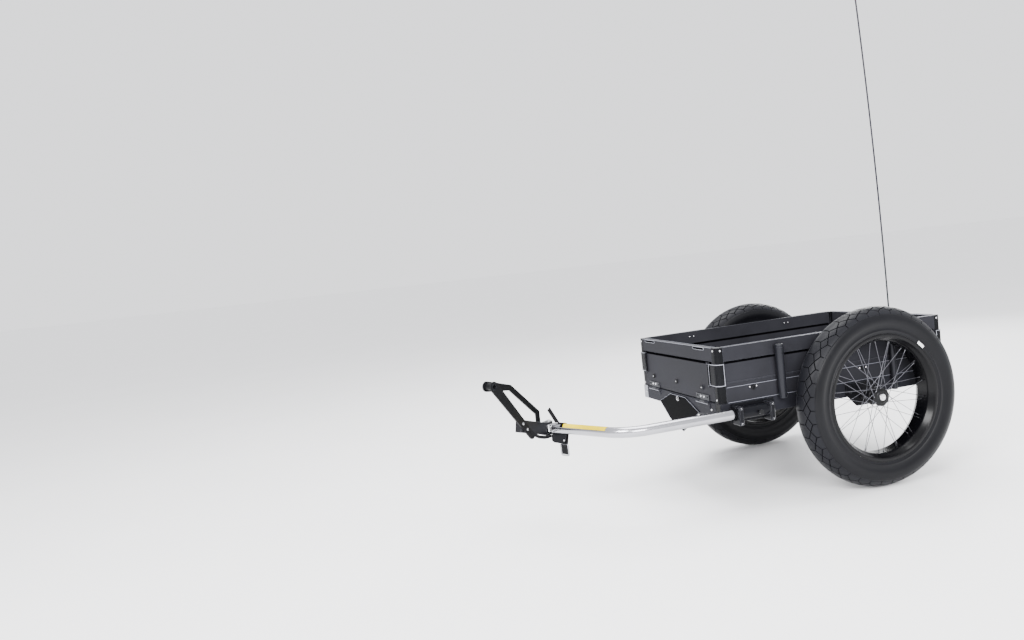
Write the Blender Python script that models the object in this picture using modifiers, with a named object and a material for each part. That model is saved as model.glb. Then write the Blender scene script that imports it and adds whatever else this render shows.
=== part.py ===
"""Bicycle trailer: an open cargo box on two fat spoked wheels, towed by a drawbar on its left side.

Metres, +Z up, -Y is the way it is towed, +X is its left. The floor is z = 0.
Every length below the root empty is measured from the wheel axle's line, at Y = 0 of that empty.
"""

import math

import bmesh
import bpy
from mathutils import Matrix, Vector

# Fits between pieces
SEAT_GAP = 0.0003
RUN_GAP = 0.0015
BORE_GAP = 0.00008
CUT_PAST = 0.010

# Bevels on edges
SHEET_EDGE = 0.0008
SMALL_EDGE = 0.001
RAIL_EDGE = 0.002
CLAMP_EDGE = 0.003

# Wheels
TYRE_RADIUS = 0.3025
TYRE_WIDTH = 0.096
TYRE_WALL = 0.0045
RIM_RADIUS = 0.2125
RIM_WIDTH = 0.084
RIM_WALL = 0.0025
BEAD_DEPTH = 0.0095
RIM_WELL_DEPTH = 0.013
RIM_SHELF_SHARE = 0.75
SPOKE_COUNT = 36
SPOKE_RADIUS = 0.0011
SPOKE_LACING_TURN = math.radians(62)
SPOKE_PAIR_SPREAD = math.radians(1.6)
SPOKE_RIM_OFFSET = 0.004
SPOKE_HEAD_OFFSET = 0.0019
SPOKE_END_GAP = 0.0006
SPOKE_SIDES = 4
WHEEL_STEPS = 40
HUB_BARREL_RADIUS = 0.016
HUB_END_RADIUS = 0.020
HUB_FLANGE_RADIUS = 0.031
HUB_FLANGE_WIDTH = 0.004
HUB_FLANGE_OFFSET = 0.019
HUB_INNER_LENGTH = 0.030
HUB_OUTER_LENGTH = 0.024
AXLE_RADIUS = 0.006
AXLE_OUTER_LENGTH = 0.009
BUTTON_RADIUS = 0.0115
BUTTON_PROUD = 0.004
BUTTON_TRAVEL = 0.0025
BUTTON_DEPTH = 0.0135
WHEEL_GAP = 0.023

# Cargo box and its base
BOX_WIDTH = 0.562
BOX_FRONT = 0.546
BOX_REAR = 0.355
WALL_HEIGHT = 0.185
WALL_THICKNESS = 0.018
BOARD_HEIGHT = 0.047
BOARD_GROOVE = 0.0015
MIDDLE_BAND_HEIGHT = 0.070
MIDDLE_BAND_INSET = 0.0025
RIB_HEIGHT = 0.004
RIB_SPACING = 0.015
POST_SIZE = 0.026
POST_CORNER_RADIUS = 0.012
FLOOR_THICKNESS = 0.004
RAIL_BOTTOM = 0.298
RAIL_HEIGHT = 0.050
RAIL_WIDTH = 0.030
RAIL_WALL = 0.003
CAP_THICKNESS = 0.003

# Fold hinges of the end walls
HINGE_WIDTH = 0.080
HINGE_INSET = 0.103
HINGE_LEAF = 0.003
LEAF_HEIGHT = 0.0175
KNUCKLE_RADIUS = 0.004
KNUCKLE_WIDTH = 0.026
HINGE_PIN_RADIUS = 0.002
HINGE_AXIS_OUT = 0.0045
HINGE_AXIS_DROP = 0.004

# Corner latches
LATCH_BOTTOM = 0.407
LATCH_HEIGHT = 0.072
LATCH_SHEET = 0.0025
LATCH_STANDOFF = 0.001
LATCH_FRONT_LEG = 0.0495
LATCH_SIDE_LEG = 0.024
LATCH_KNUCKLE_RADIUS = 0.0035
LATCH_PIN_RADIUS = 0.0015
LATCH_LUG_HEIGHT = 0.003

# Bumpers on the front wall
BUMPER_RADIUS = 0.0075
BUMPER_PROUD = 0.005
BUMPER_INSET = 0.101
BUMPER_RISE = 0.042

# Stake tubes on the side walls
STAKE_FRONT_RADIUS = 0.0140
STAKE_REAR_RADIUS = 0.0095
STAKE_FRONT_INSET = 0.226
STAKE_FRONT_BOTTOM = 0.340
STAKE_FRONT_LENGTH = 0.180
STAKE_REAR_INSET = 0.224
STAKE_REAR_BOTTOM = 0.300
STAKE_REAR_LENGTH = 0.178
STAKE_DOME = 0.003
SOCKET_DEPTH = 0.170

# Flag pole
POLE_RADIUS = 0.0025
POLE_LENGTH = 1.500
POLE_SET_FORWARD = 0.050
POLE_TIP_RADIUS = 0.004

# Skid plate under the front
SKID_TOP_HALF = 0.055
SKID_SHOULDER_HALF = 0.145
SKID_LOWER_HALF = 0.079
SKID_TIP_HALF = 0.019
SKID_TOP_Z = 0.343
SKID_SHOULDER_Z = 0.303
SKID_LOWER_Z = 0.250
SKID_TIP_Z = 0.213
SKID_NOTCH = 0.008
SKID_THICKNESS = 0.003
SKID_BOLT_RADIUS = 0.007
SKID_BOLT_DROP = 0.012

# Drawbar and its receiver
BAR_RADIUS = 0.017
BAR_WALL = 0.0025
BAR_Z = 0.316
BAR_CORNER_OUT = 0.383
BAR_BEND_RADIUS = 0.120
BAR_INSERT = 0.125
BAR_TIP_OUT = 0.1504
BAR_TIP_Z = 0.3073
RECEIVER_WALL = 0.0022
RECEIVER_INSET = 0.034
RECEIVER_LENGTH = 0.140
BACKING_THICKNESS = 0.003
GUSSET_LENGTH = 0.024
CLAMP_WIDTH = 0.018
CLAMP_HEIGHT = 0.062
CLAMP_DROP = 0.006
CLAMP_WALL = 0.0045
CLAMP_INSET = 0.003
CLAMP_BOLT_RADIUS = 0.0045
COLLAR_WIDTH = 0.008
COLLAR_WALL = 0.0025
PIN_RADIUS = 0.003
PIN_HEAD_RADIUS = 0.008
PIN_HEAD_LENGTH = 0.007
PIN_SHANK_OUT = 0.006
PIN_BACK = 0.080

# Coupling at the drawbar's tip
EYE_RADIUS = 0.016
EYE_HEIGHT = 0.026
TONGUE_LENGTH = 0.017
PLUG_LENGTH = 0.010
PLUG_CHAMFER = 0.004
KINGPIN_RADIUS = 0.005
KINGPIN_HEAD_RADIUS = 0.009
KINGPIN_HEAD_HEIGHT = 0.004
CHEEK_HEIGHT = 0.007
COUPLING_PLATE_THICKNESS = 0.005
COUPLING_PLATE_FRONT = 0.010
COUPLING_PLATE_LENGTH = 0.065
COUPLING_PLATE_BOTTOM = 0.051
COUPLING_PLATE_SLANT = 0.010
BORE_CLEARANCE = 0.0009

# Safety strap and its ring, on the drawbar behind the tip
STRAP_BACK = 0.064
STRAP_WIDTH = 0.028
STRAP_THICKNESS = 0.0025
STRAP_TOP_END = math.radians(104)
STRAP_WIRE_END = math.radians(-185)
TAIL_WIDTH = 0.017
TAIL_BACK = 0.034
TAIL_LENGTH = 0.052
TAIL_LEAN = math.radians(37)
RING_WIRE_RADIUS = 0.002
RING_WIDTH = 0.036
RING_HEIGHT = 0.038
RING_DROP = 0.0925
RING_CORNER = 0.005

# Hitch bracket, bolted to the towing bicycle's left axle end
HITCH_YAW = math.radians(30)
HITCH_NECK = 0.022
HITCH_REACH = 0.152
HITCH_RISE = 0.039
HITCH_SLANT = 0.009
HITCH_BLOCK_WIDTH = 0.028
HITCH_BLOCK_HEIGHT = 0.042
ARM_THICKNESS = 0.005
ARM_WIDTH = 0.024
EYE_REACH = 0.252
EYE_RISE = 0.190
ARM_EYE_RADIUS = 0.017
BICYCLE_AXLE_RADIUS = 0.0062
NEAR_ARM_FOOT = 0.105
NEAR_ARM_FOOT_RISE = -0.002
NEAR_ARM_FIRST_BOLT = 0.033
FAR_ARM_WIDTH = 0.019
FAR_ARM_FOOT = 0.033
FAR_ARM_FOOT_RISE = -0.012
FAR_ARM_KNEE_RISE = 0.058
FAR_ARM_ELBOW = 0.150
FAR_ARM_ELBOW_RISE = 0.167
FAR_ARM_FIRST_BOLT = 0.008
FAR_BOLT_SPACING = 0.018
ARM_BOLT_RADIUS = 0.0045
ARM_BOLT_PROUD = 0.003
ARM_BOLT_SPACING = 0.028

# Axle plates
PLATE_THICKNESS = 0.006
PLATE_TOP_HALF = 0.065
PLATE_FOOT_HALF = 0.032
PLATE_DROP = 0.034
PLATE_INSET = 0.004
PLATE_SHOULDER = 0.008
PLATE_CORNER = 0.006
AXLE_FLANGE_RADIUS = 0.016
AXLE_FLANGE_WIDTH = 0.004
AXLE_BOSS_RADIUS = 0.010

# Worked out from the sizes above
RAIL_TOP = RAIL_BOTTOM + RAIL_HEIGHT
WALL_FOOT = RAIL_TOP + FLOOR_THICKNESS
WALL_TOP = RAIL_TOP + WALL_HEIGHT
HALF_BOX = BOX_WIDTH / 2
HALF_TRACK = HALF_BOX + WHEEL_GAP + TYRE_WIDTH / 2
STAKE_FRONT_Y = STAKE_FRONT_INSET - BOX_FRONT
STAKE_REAR_Y = BOX_REAR - STAKE_REAR_INSET
RECEIVER_RADIUS = BAR_RADIUS + SEAT_GAP + RECEIVER_WALL
RECEIVER_FRONT = RECEIVER_INSET - BOX_FRONT
PIN_Y = RECEIVER_FRONT + PIN_BACK
BAR_CORNER_Y = RECEIVER_FRONT - BAR_CORNER_OUT
BAR_TIP_Y = BAR_CORNER_Y - BAR_TIP_OUT
BAR_X = HALF_BOX + SEAT_GAP + BACKING_THICKNESS + SEAT_GAP + RECEIVER_RADIUS
ARM_OUT = HITCH_BLOCK_WIDTH / 2 + SEAT_GAP + ARM_THICKNESS
HITCH_FRONT = (EYE_REACH + ARM_EYE_RADIUS) * math.cos(HITCH_YAW) + ARM_OUT * math.sin(HITCH_YAW) - BAR_TIP_Y
LATCH_OUT = LATCH_STANDOFF + LATCH_KNUCKLE_RADIUS
LATCH_REAR = BOX_REAR + LATCH_OUT + LATCH_KNUCKLE_RADIUS
AXLE_Y = (HITCH_FRONT - LATCH_REAR) / 2


def clear_scene():
    for item in list(bpy.data.objects):
        bpy.data.objects.remove(item, do_unlink=True)


def make_collection(name):
    collection = bpy.data.collections.new(name)
    bpy.context.scene.collection.children.link(collection)
    return collection


clear_scene()
PARTS = make_collection("bicycle_trailer")
CUTTERS = make_collection("cutters")


def make_material(name, colour, roughness, metallic=0.0):
    material = bpy.data.materials.new(name)
    material.use_nodes = True
    shader = material.node_tree.nodes["Principled BSDF"]
    shader.inputs["Base Color"].default_value = (*colour, 1.0)
    shader.inputs["Roughness"].default_value = roughness
    shader.inputs["Metallic"].default_value = metallic
    return material


SATIN_BLACK = ("satin_black", (0.035, 0.037, 0.042), 0.45, 0.0)
DEEP_BLACK = ("deep_black", (0.018, 0.019, 0.021), 0.5, 0.0)
GREY_METAL = ("grey_metal", (0.16, 0.165, 0.175), 0.4, 0.7)
CAP_GREY = ("cap_grey", (0.30, 0.31, 0.32), 0.5, 0.0)
POLISHED = ("polished_aluminium", (0.82, 0.82, 0.83), 0.22, 1.0)
SILVER = ("silver_steel", (0.62, 0.62, 0.63), 0.3, 1.0)
RUBBER = ("rubber", (0.022, 0.022, 0.024), 0.8, 0.0)
GLOSS_BLACK = ("gloss_black", (0.012, 0.012, 0.014), 0.2, 0.0)
WEBBING = ("webbing", (0.015, 0.015, 0.016), 0.9, 0.0)
POLE_BLACK = ("pole_black", (0.03, 0.03, 0.035), 0.4, 0.0)
FLOOR_BLACK = ("floor_black", (0.03, 0.03, 0.032), 0.7, 0.0)


def make_empty(name, parent=None, location=(0, 0, 0), rotation=(0, 0, 0)):
    empty = bpy.data.objects.new(name, None)
    PARTS.objects.link(empty)
    empty.parent = parent
    empty.location = location
    empty.rotation_euler = rotation
    return empty


def make_object(name, mesh, finish, parent, location=(0, 0, 0), rotation=(0, 0, 0)):
    piece = bpy.data.objects.new(name, mesh)
    PARTS.objects.link(piece)
    piece.parent = parent
    piece.location = location
    piece.rotation_euler = rotation
    label, colour, roughness, metallic = finish
    mesh.materials.append(make_material(name + "_" + label, colour, roughness, metallic))
    return piece


def bevel(piece, width, segments=1):
    modifier = piece.modifiers.new("rounded_edges", "BEVEL")
    modifier.width = width
    modifier.segments = segments
    modifier.limit_method = "ANGLE"
    modifier.angle_limit = math.radians(40)
    return piece


def combine(piece, tool, operation):
    """Cuts the tool from the piece, or joins it on, and puts the tool away."""
    PARTS.objects.unlink(tool)
    CUTTERS.objects.link(tool)
    tool.hide_render = True
    tool.display_type = "WIRE"
    modifier = piece.modifiers.new(operation.lower() + "_" + tool.name, "BOOLEAN")
    modifier.operation = operation
    modifier.object = tool
    return piece


def cut(piece, tool):
    return combine(piece, tool, "DIFFERENCE")


def join(piece, tool):
    return combine(piece, tool, "UNION")


def box(name, low, high, finish, parent, edge=0.0):
    """A box between two corners, with its origin at its centre."""
    low, high = Vector(low), Vector(high)
    mesh = bpy.data.meshes.new(name)
    shape = bmesh.new()
    bmesh.ops.create_cube(shape, size=1.0, matrix=Matrix.Diagonal((*(high - low), 1.0)))
    shape.to_mesh(mesh)
    shape.free()
    piece = make_object(name, mesh, finish, parent, (low + high) / 2)
    if edge:
        bevel(piece, edge)
    return piece


def rod(name, radius, start, end, finish, parent, segments=24, end_radius=None, edge=0.0):
    """A round bar, or a cone where end_radius is given, from start to end."""
    start, end = Vector(start), Vector(end)
    mesh = bpy.data.meshes.new(name)
    shape = bmesh.new()
    bmesh.ops.create_cone(
        shape,
        cap_ends=True,
        segments=segments,
        radius1=radius,
        radius2=radius if end_radius is None else end_radius,
        depth=(end - start).length,
    )
    shape.to_mesh(mesh)
    shape.free()
    mesh.shade_smooth()
    mesh.set_sharp_from_angle(angle=math.radians(40))
    piece = make_object(name, mesh, finish, parent, (start + end) / 2)
    piece.rotation_euler = (end - start).to_track_quat("Z", "Y").to_euler()
    if edge:
        bevel(piece, edge)
    return piece


def curve_to_mesh(name, curve):
    """The evaluated curve as a mesh of its own, with its caps welded on."""
    holder = bpy.data.objects.new(name + "_curve", curve)
    bpy.context.scene.collection.objects.link(holder)
    bpy.context.view_layer.update()
    graph = bpy.context.evaluated_depsgraph_get()
    mesh = bpy.data.meshes.new_from_object(holder.evaluated_get(graph))
    mesh.name = name
    bpy.data.objects.remove(holder, do_unlink=True)
    shape = bmesh.new()
    shape.from_mesh(mesh)
    bmesh.ops.remove_doubles(shape, verts=shape.verts, dist=0.000001)
    bmesh.ops.recalc_face_normals(shape, faces=shape.faces)
    shape.to_mesh(mesh)
    shape.free()
    return mesh


def plate(name, outlines, thickness, finish, parent, location=(0, 0, 0), rotation=(0, 0, 0)):
    """A flat outline in the local XY plane, with half its thickness each way. Later outlines are holes."""
    curve = bpy.data.curves.new(name, "CURVE")
    curve.dimensions = "2D"
    curve.fill_mode = "BOTH"
    curve.extrude = thickness / 2
    for outline in outlines:
        spline = curve.splines.new("POLY")
        spline.points.add(len(outline) - 1)
        for point, (x, y) in zip(spline.points, outline):
            point.co = (x, y, 0, 1)
        spline.use_cyclic_u = True
    return make_object(name, curve_to_mesh(name, curve), finish, parent, location, rotation)


def tube(name, points, radius, finish, parent, sides=3, cyclic=False):
    """A round tube along points, with filled caps."""
    curve = bpy.data.curves.new(name, "CURVE")
    curve.dimensions = "3D"
    curve.bevel_depth = radius
    curve.bevel_resolution = sides
    curve.use_fill_caps = True
    spline = curve.splines.new("POLY")
    spline.points.add(len(points) - 1)
    for point, place in zip(spline.points, points):
        point.co = (*place, 1)
    spline.use_cyclic_u = cyclic
    mesh = curve_to_mesh(name, curve)
    mesh.shade_smooth()
    mesh.set_sharp_from_angle(angle=math.radians(40))
    return make_object(name, mesh, finish, parent)


def turned(name, profile, finish, parent, location, rotation, segments=48, closed=False):
    """A profile of (radius, height) points turned about local Z, its outer side from top to bottom."""
    mesh = bpy.data.meshes.new(name)
    shape = bmesh.new()
    corners = [shape.verts.new((radius, 0, height)) for radius, height in profile]
    for first, second in zip(corners, corners[1:]):
        shape.edges.new((first, second))
    if closed:
        shape.edges.new((corners[-1], corners[0]))
    shape.to_mesh(mesh)
    shape.free()
    piece = make_object(name, mesh, finish, parent, location, rotation)
    screw = piece.modifiers.new("turned", "SCREW")
    screw.axis = "Z"
    screw.angle = math.tau
    screw.steps = segments
    screw.render_steps = segments
    screw.use_merge_vertices = True
    screw.merge_threshold = 0.00001
    screw.use_smooth_shade = True
    return piece


def arc(centre, radius, start, end, steps):
    """Points on an arc in a plane, from one angle to the other."""
    angles = [start + (end - start) * step / steps for step in range(steps + 1)]
    return [(centre[0] + radius * math.cos(a), centre[1] + radius * math.sin(a)) for a in angles]


def circle(centre, radius, steps=24):
    return arc(centre, radius, 0, math.tau, steps)[:-1]


def build_wheel(side, sign, root):
    """A wheel whose empty stands in its middle plane on the axle line, with local Z outboard."""
    place = (sign * HALF_TRACK, 0, TYRE_RADIUS)
    wheel = make_empty(side + "_wheel", root, place, (0, sign * math.pi / 2, 0))
    centre, still = (0, 0, 0), (0, 0, 0)
    bead_radius = RIM_RADIUS - BEAD_DEPTH
    well_radius = bead_radius - RIM_WELL_DEPTH
    half_rim = RIM_WIDTH / 2
    channel = half_rim - RIM_WALL

    section = (TYRE_RADIUS + RIM_RADIUS) / 2
    depth = TYRE_RADIUS - section
    bead_half = channel - SEAT_GAP
    seat = bead_radius + SEAT_GAP
    low, high = math.radians(-25), math.radians(205)
    outer = [(r, z) for z, r in stretched(TYRE_WIDTH / 2, depth, section, low, high, 10)]
    inner = [
        (r, z)
        for z, r in stretched(TYRE_WIDTH / 2 - TYRE_WALL, depth - TYRE_WALL, section, high, low, 4)
    ]
    lip = RIM_RADIUS + SEAT_GAP
    profile = [(seat, bead_half), (lip, bead_half), (lip, half_rim)]
    profile += outer
    profile += [(lip, -half_rim), (lip, -bead_half), (seat, -bead_half), (seat, TYRE_WALL - bead_half)]
    profile += inner
    profile += [(seat, bead_half - TYRE_WALL)]
    turned(side + "_tyre", profile, RUBBER, wheel, centre, still, WHEEL_STEPS, closed=True)

    shelf = channel * RIM_SHELF_SHARE
    profile = [
        (RIM_RADIUS, half_rim),
        (RIM_RADIUS, channel),
        (bead_radius, channel),
        (bead_radius, shelf),
        (well_radius, shelf - RIM_WELL_DEPTH / 2),
        (well_radius, RIM_WELL_DEPTH / 2 - shelf),
        (bead_radius, -shelf),
        (bead_radius, -channel),
        (RIM_RADIUS, -channel),
        (RIM_RADIUS, -half_rim),
        (bead_radius - RIM_WALL, -half_rim),
        (well_radius - RIM_WALL, RIM_WELL_DEPTH / 2 - shelf),
        (well_radius - RIM_WALL, shelf - RIM_WELL_DEPTH / 2),
        (bead_radius - RIM_WALL, half_rim),
    ]
    turned(side + "_rim", profile, GLOSS_BLACK, wheel, centre, still, WHEEL_STEPS, closed=True)

    bore = AXLE_RADIUS + BORE_GAP
    button_bore = BUTTON_RADIUS + SEAT_GAP
    top = HUB_OUTER_LENGTH
    floor = top + BUTTON_PROUD - BUTTON_DEPTH - BUTTON_TRAVEL - SEAT_GAP
    flange_out = HUB_FLANGE_OFFSET + HUB_FLANGE_WIDTH / 2
    flange_in = HUB_FLANGE_OFFSET - HUB_FLANGE_WIDTH / 2
    profile = [
        (HUB_END_RADIUS, top),
        (HUB_END_RADIUS, flange_out),
        (HUB_FLANGE_RADIUS, flange_out),
        (HUB_FLANGE_RADIUS, flange_in),
        (HUB_BARREL_RADIUS, flange_in),
        (HUB_BARREL_RADIUS, -flange_in),
        (HUB_FLANGE_RADIUS, -flange_in),
        (HUB_FLANGE_RADIUS, -flange_out),
        (HUB_BARREL_RADIUS, -flange_out),
        (HUB_BARREL_RADIUS, -HUB_INNER_LENGTH),
        (bore, -HUB_INNER_LENGTH),
        (bore, floor),
        (button_bore, floor),
        (button_bore, top),
    ]
    hub = turned(side + "_spoked_hub", profile, DEEP_BLACK, wheel, centre, still, 32, closed=True)
    reach = (well_radius - RIM_WALL) * math.cos(math.pi / WHEEL_STEPS) - SPOKE_END_GAP
    spokes = make_spokes(side, reach, wheel)
    join(hub, spokes)
    hub.modifiers[-1].use_self = True

    top += BUTTON_PROUD
    profile = [(0, top), (BUTTON_RADIUS, top), (BUTTON_RADIUS, top - BUTTON_DEPTH), (0, top - BUTTON_DEPTH)]
    button = make_empty(side + "_axle_release", wheel)
    bevel(turned(side + "_axle_button", profile, SILVER, button, centre, still, 24), SMALL_EDGE)

    inboard = HALF_BOX + SEAT_GAP + PLATE_THICKNESS + SEAT_GAP - HALF_TRACK
    boss_end = -HUB_INNER_LENGTH - SEAT_GAP
    profile = [
        (0, AXLE_OUTER_LENGTH),
        (AXLE_RADIUS, AXLE_OUTER_LENGTH),
        (AXLE_RADIUS, boss_end),
        (AXLE_BOSS_RADIUS, boss_end),
        (AXLE_BOSS_RADIUS, inboard + AXLE_FLANGE_WIDTH),
        (AXLE_FLANGE_RADIUS, inboard + AXLE_FLANGE_WIDTH),
        (AXLE_FLANGE_RADIUS, inboard),
        (0, inboard),
    ]
    turned(side + "_stub_axle", profile, SILVER, root, wheel.location, wheel.rotation_euler, 32)


def stretched(width, height, middle, start, end, steps):
    """Points on an ellipse's arc, round (0, middle)."""
    angles = [start + (end - start) * step / steps for step in range(steps + 1)]
    return [(width * math.cos(a), middle + height * math.sin(a)) for a in angles]


def make_spokes(side, reach, parent):
    """Every spoke as a bar from its flange to just short of the rim, crossing its neighbours."""
    mesh = bpy.data.meshes.new(side + "_spokes")
    shape = bmesh.new()
    root_radius = HUB_FLANGE_RADIUS - HUB_FLANGE_WIDTH / 2
    for number in range(SPOKE_COUNT):
        pair, mate = number // 2, number % 2
        way = 1 if mate == 0 else -1
        flange = way if pair % 2 == 0 else -way
        turn = way * SPOKE_LACING_TURN
        angle = math.tau * 2 * pair / SPOKE_COUNT + way * SPOKE_PAIR_SPREAD
        foot = Vector((root_radius * math.cos(angle + turn), root_radius * math.sin(angle + turn), 0))
        head = Vector((reach * math.cos(angle), reach * math.sin(angle), flange * SPOKE_RIM_OFFSET))
        foot.z = flange * HUB_FLANGE_OFFSET + way * SPOKE_HEAD_OFFSET
        along = head - foot
        turned_to = along.to_track_quat("Z", "Y").to_matrix().to_4x4()
        bmesh.ops.create_cone(
            shape,
            cap_ends=True,
            segments=SPOKE_SIDES,
            radius1=SPOKE_RADIUS,
            radius2=SPOKE_RADIUS,
            depth=along.length,
            matrix=Matrix.Translation((foot + head) / 2) @ turned_to,
        )
    shape.to_mesh(mesh)
    shape.free()
    return make_object(side + "_spokes", mesh, SILVER, parent)


def build_base(root):
    """The rails, their end caps, the floor and the axle plates."""
    rail_x = HALF_BOX - RAIL_WIDTH
    rail_front = CAP_THICKNESS - BOX_FRONT
    rail_rear = BOX_REAR - CAP_THICKNESS
    for side, sign in (("left", 1), ("right", -1)):
        xs = sorted((sign * rail_x, sign * HALF_BOX))
        low = (xs[0], rail_front + SEAT_GAP, RAIL_BOTTOM)
        high = (xs[1], rail_rear - SEAT_GAP, RAIL_TOP)
        rail = box(side + "_side_rail", low, high, SATIN_BLACK, root, RAIL_EDGE)
        cut(rail, hollow(side + "_rail_bore", low, high, 1, root))
        for end, start, stop in (("front", -BOX_FRONT, rail_front), ("rear", rail_rear, BOX_REAR)):
            name = side + "_" + end + "_rail_cap"
            box(name, (xs[0], start, RAIL_BOTTOM), (xs[1], stop, RAIL_TOP), CAP_GREY, root, SMALL_EDGE)
        half_plate = PLATE_TOP_HALF
        drop = RAIL_BOTTOM - PLATE_DROP
        outline = [
            (-half_plate, RAIL_TOP - PLATE_INSET),
            (-half_plate, RAIL_BOTTOM + PLATE_SHOULDER),
            (-PLATE_FOOT_HALF, drop + PLATE_CORNER),
            (PLATE_CORNER - PLATE_FOOT_HALF, drop),
            (PLATE_FOOT_HALF - PLATE_CORNER, drop),
            (PLATE_FOOT_HALF, drop + PLATE_CORNER),
            (half_plate, RAIL_BOTTOM + PLATE_SHOULDER),
            (half_plate, RAIL_TOP - PLATE_INSET),
        ]
        place = (sign * (HALF_BOX + SEAT_GAP + PLATE_THICKNESS / 2), 0, 0)
        upright = (math.pi / 2, 0, math.pi / 2)
        axle_plate = plate(
            side + "_axle_plate", [outline], PLATE_THICKNESS, SATIN_BLACK, root, place, upright
        )
        bevel(axle_plate, SMALL_EDGE)

    notch_x = HALF_BOX - POST_SIZE - SEAT_GAP
    side_x = HALF_BOX - WALL_THICKNESS - SEAT_GAP
    front, rear = BOX_FRONT - WALL_THICKNESS - RUN_GAP, BOX_REAR - WALL_THICKNESS - RUN_GAP
    notch_front, notch_rear = BOX_FRONT - POST_SIZE - SEAT_GAP, BOX_REAR - POST_SIZE - SEAT_GAP
    quarter = [(notch_x, rear), (notch_x, notch_rear), (side_x, notch_rear)]
    lower = [(side_x, -notch_front), (notch_x, -notch_front), (notch_x, -front)]
    right = [(-x, y) for x, y in reversed(quarter + lower)]
    middle = RAIL_TOP + SEAT_GAP + FLOOR_THICKNESS / 2
    plate("floor_panel", [quarter + lower + right], FLOOR_THICKNESS, FLOOR_BLACK, root, (0, 0, middle))


def hollow(name, low, high, axis, parent):
    """The bore of a box section: a box one rail wall smaller, running out past both ends along axis."""
    low, high = Vector(low), Vector(high)
    for each in range(3):
        step = -RAIL_WALL if each == axis else RAIL_WALL
        low[each] += step
        high[each] -= step
    return box(name, low, high, SATIN_BLACK, parent)


def build_cross_rail(end, sign, root):
    """A cross rail with the fixed halves and pins of its wall's two hinges."""
    face = BOX_FRONT if end == "front" else BOX_REAR
    half = HALF_BOX - RAIL_WIDTH - SEAT_GAP
    ys = sorted((sign * face, sign * (face - RAIL_WIDTH)))
    low, high = (-half, ys[0], RAIL_BOTTOM), (half, ys[1], RAIL_TOP)
    rail = box(end + "_cross_rail", low, high, SATIN_BLACK, root, RAIL_EDGE)
    cut(rail, hollow(end + "_cross_bore", low, high, 0, root))
    axis_y, axis_z = sign * (face + HINGE_AXIS_OUT), WALL_FOOT - HINGE_AXIS_DROP
    half_hinge = HINGE_WIDTH / 2
    leaf_ys = sorted((sign * (face - SEAT_GAP), sign * (face + HINGE_LEAF)))
    for centre in (HINGE_INSET - HALF_BOX, HALF_BOX - HINGE_INSET):
        tag = end + ("_left" if centre > 0 else "_right")
        leaf_low = (centre - half_hinge, leaf_ys[0], axis_z - KNUCKLE_RADIUS - LEAF_HEIGHT)
        leaf_high = (centre + half_hinge, leaf_ys[1], axis_z - KNUCKLE_RADIUS - SEAT_GAP)
        leaf = box(tag + "_fixed_leaf", leaf_low, leaf_high, GREY_METAL, root)
        join(rail, leaf)
        for way in (-1, 1):
            start = (centre + way * (KNUCKLE_WIDTH / 2 + SEAT_GAP), axis_y, axis_z)
            stop = (centre + way * half_hinge, axis_y, axis_z)
            name = tag + "_fixed_knuckle" + ("_a" if way < 0 else "_b")
            join(rail, rod(name, KNUCKLE_RADIUS, start, stop, GREY_METAL, root, 12))
            xs = sorted((start[0], stop[0]))
            web_low, web_high = (xs[0], leaf_ys[0], leaf_high[2] - SEAT_GAP), (xs[1], leaf_ys[1], axis_z)
            join(rail, box(name + "_web", web_low, web_high, GREY_METAL, root))
        start = (centre - KNUCKLE_WIDTH, axis_y, axis_z)
        stop = (centre + KNUCKLE_WIDTH, axis_y, axis_z)
        join(rail, rod(tag + "_hinge_pin", HINGE_PIN_RADIUS, start, stop, SILVER, root, 10))


def build_side_wall(side, sign, root):
    """One side wall: an upper board, a recessed band and a lower board, as one stepped section."""
    outer, inner = HALF_BOX, HALF_BOX - WALL_THICKNESS
    inset = outer - MIDDLE_BAND_INSET
    foot = RAIL_TOP + SEAT_GAP
    board = WALL_TOP - BOARD_HEIGHT
    band = board - BOARD_GROOVE - MIDDLE_BAND_HEIGHT
    lower = band - RIB_SPACING
    section = [
        (inner, foot),
        (outer, foot),
        (outer, lower),
        (inset, lower),
        (inset, band - RIB_HEIGHT / 2),
        (outer, band - RIB_HEIGHT / 2),
        (outer, band + RIB_HEIGHT / 2),
        (inset, band + RIB_HEIGHT / 2),
        (inset, board),
        (outer, board),
        (outer, WALL_TOP),
        (inner, WALL_TOP),
    ]
    length = BOX_FRONT + BOX_REAR - 2 * (POST_SIZE + SEAT_GAP)
    outline = [(sign * x, z) for x, z in section]
    place = (0, (BOX_REAR - BOX_FRONT) / 2, 0)
    plate(side + "_side_wall", [outline], length, SATIN_BLACK, root, place, (math.pi / 2, 0, 0))


def build_post(side, end, x_sign, y_sign, root):
    """A corner post with its outer corner rounded."""
    reach = POST_SIZE - POST_CORNER_RADIUS
    outline = [(0, 0), (POST_SIZE, 0)]
    outline += arc((reach, reach), POST_CORNER_RADIUS, 0, math.pi / 2, 5)
    outline += [(0, POST_SIZE)]
    outline = [(x_sign * x, y_sign * y) for x, y in outline]
    face = BOX_FRONT if end == "front" else BOX_REAR
    foot = RAIL_TOP + SEAT_GAP
    place = (x_sign * (HALF_BOX - POST_SIZE), y_sign * (face - POST_SIZE), (foot + WALL_TOP) / 2)
    name = side + "_" + end + "_corner_post"
    post = plate(name, [outline], WALL_TOP - foot, DEEP_BLACK, root, place)
    bevel(post, SHEET_EDGE)


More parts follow.
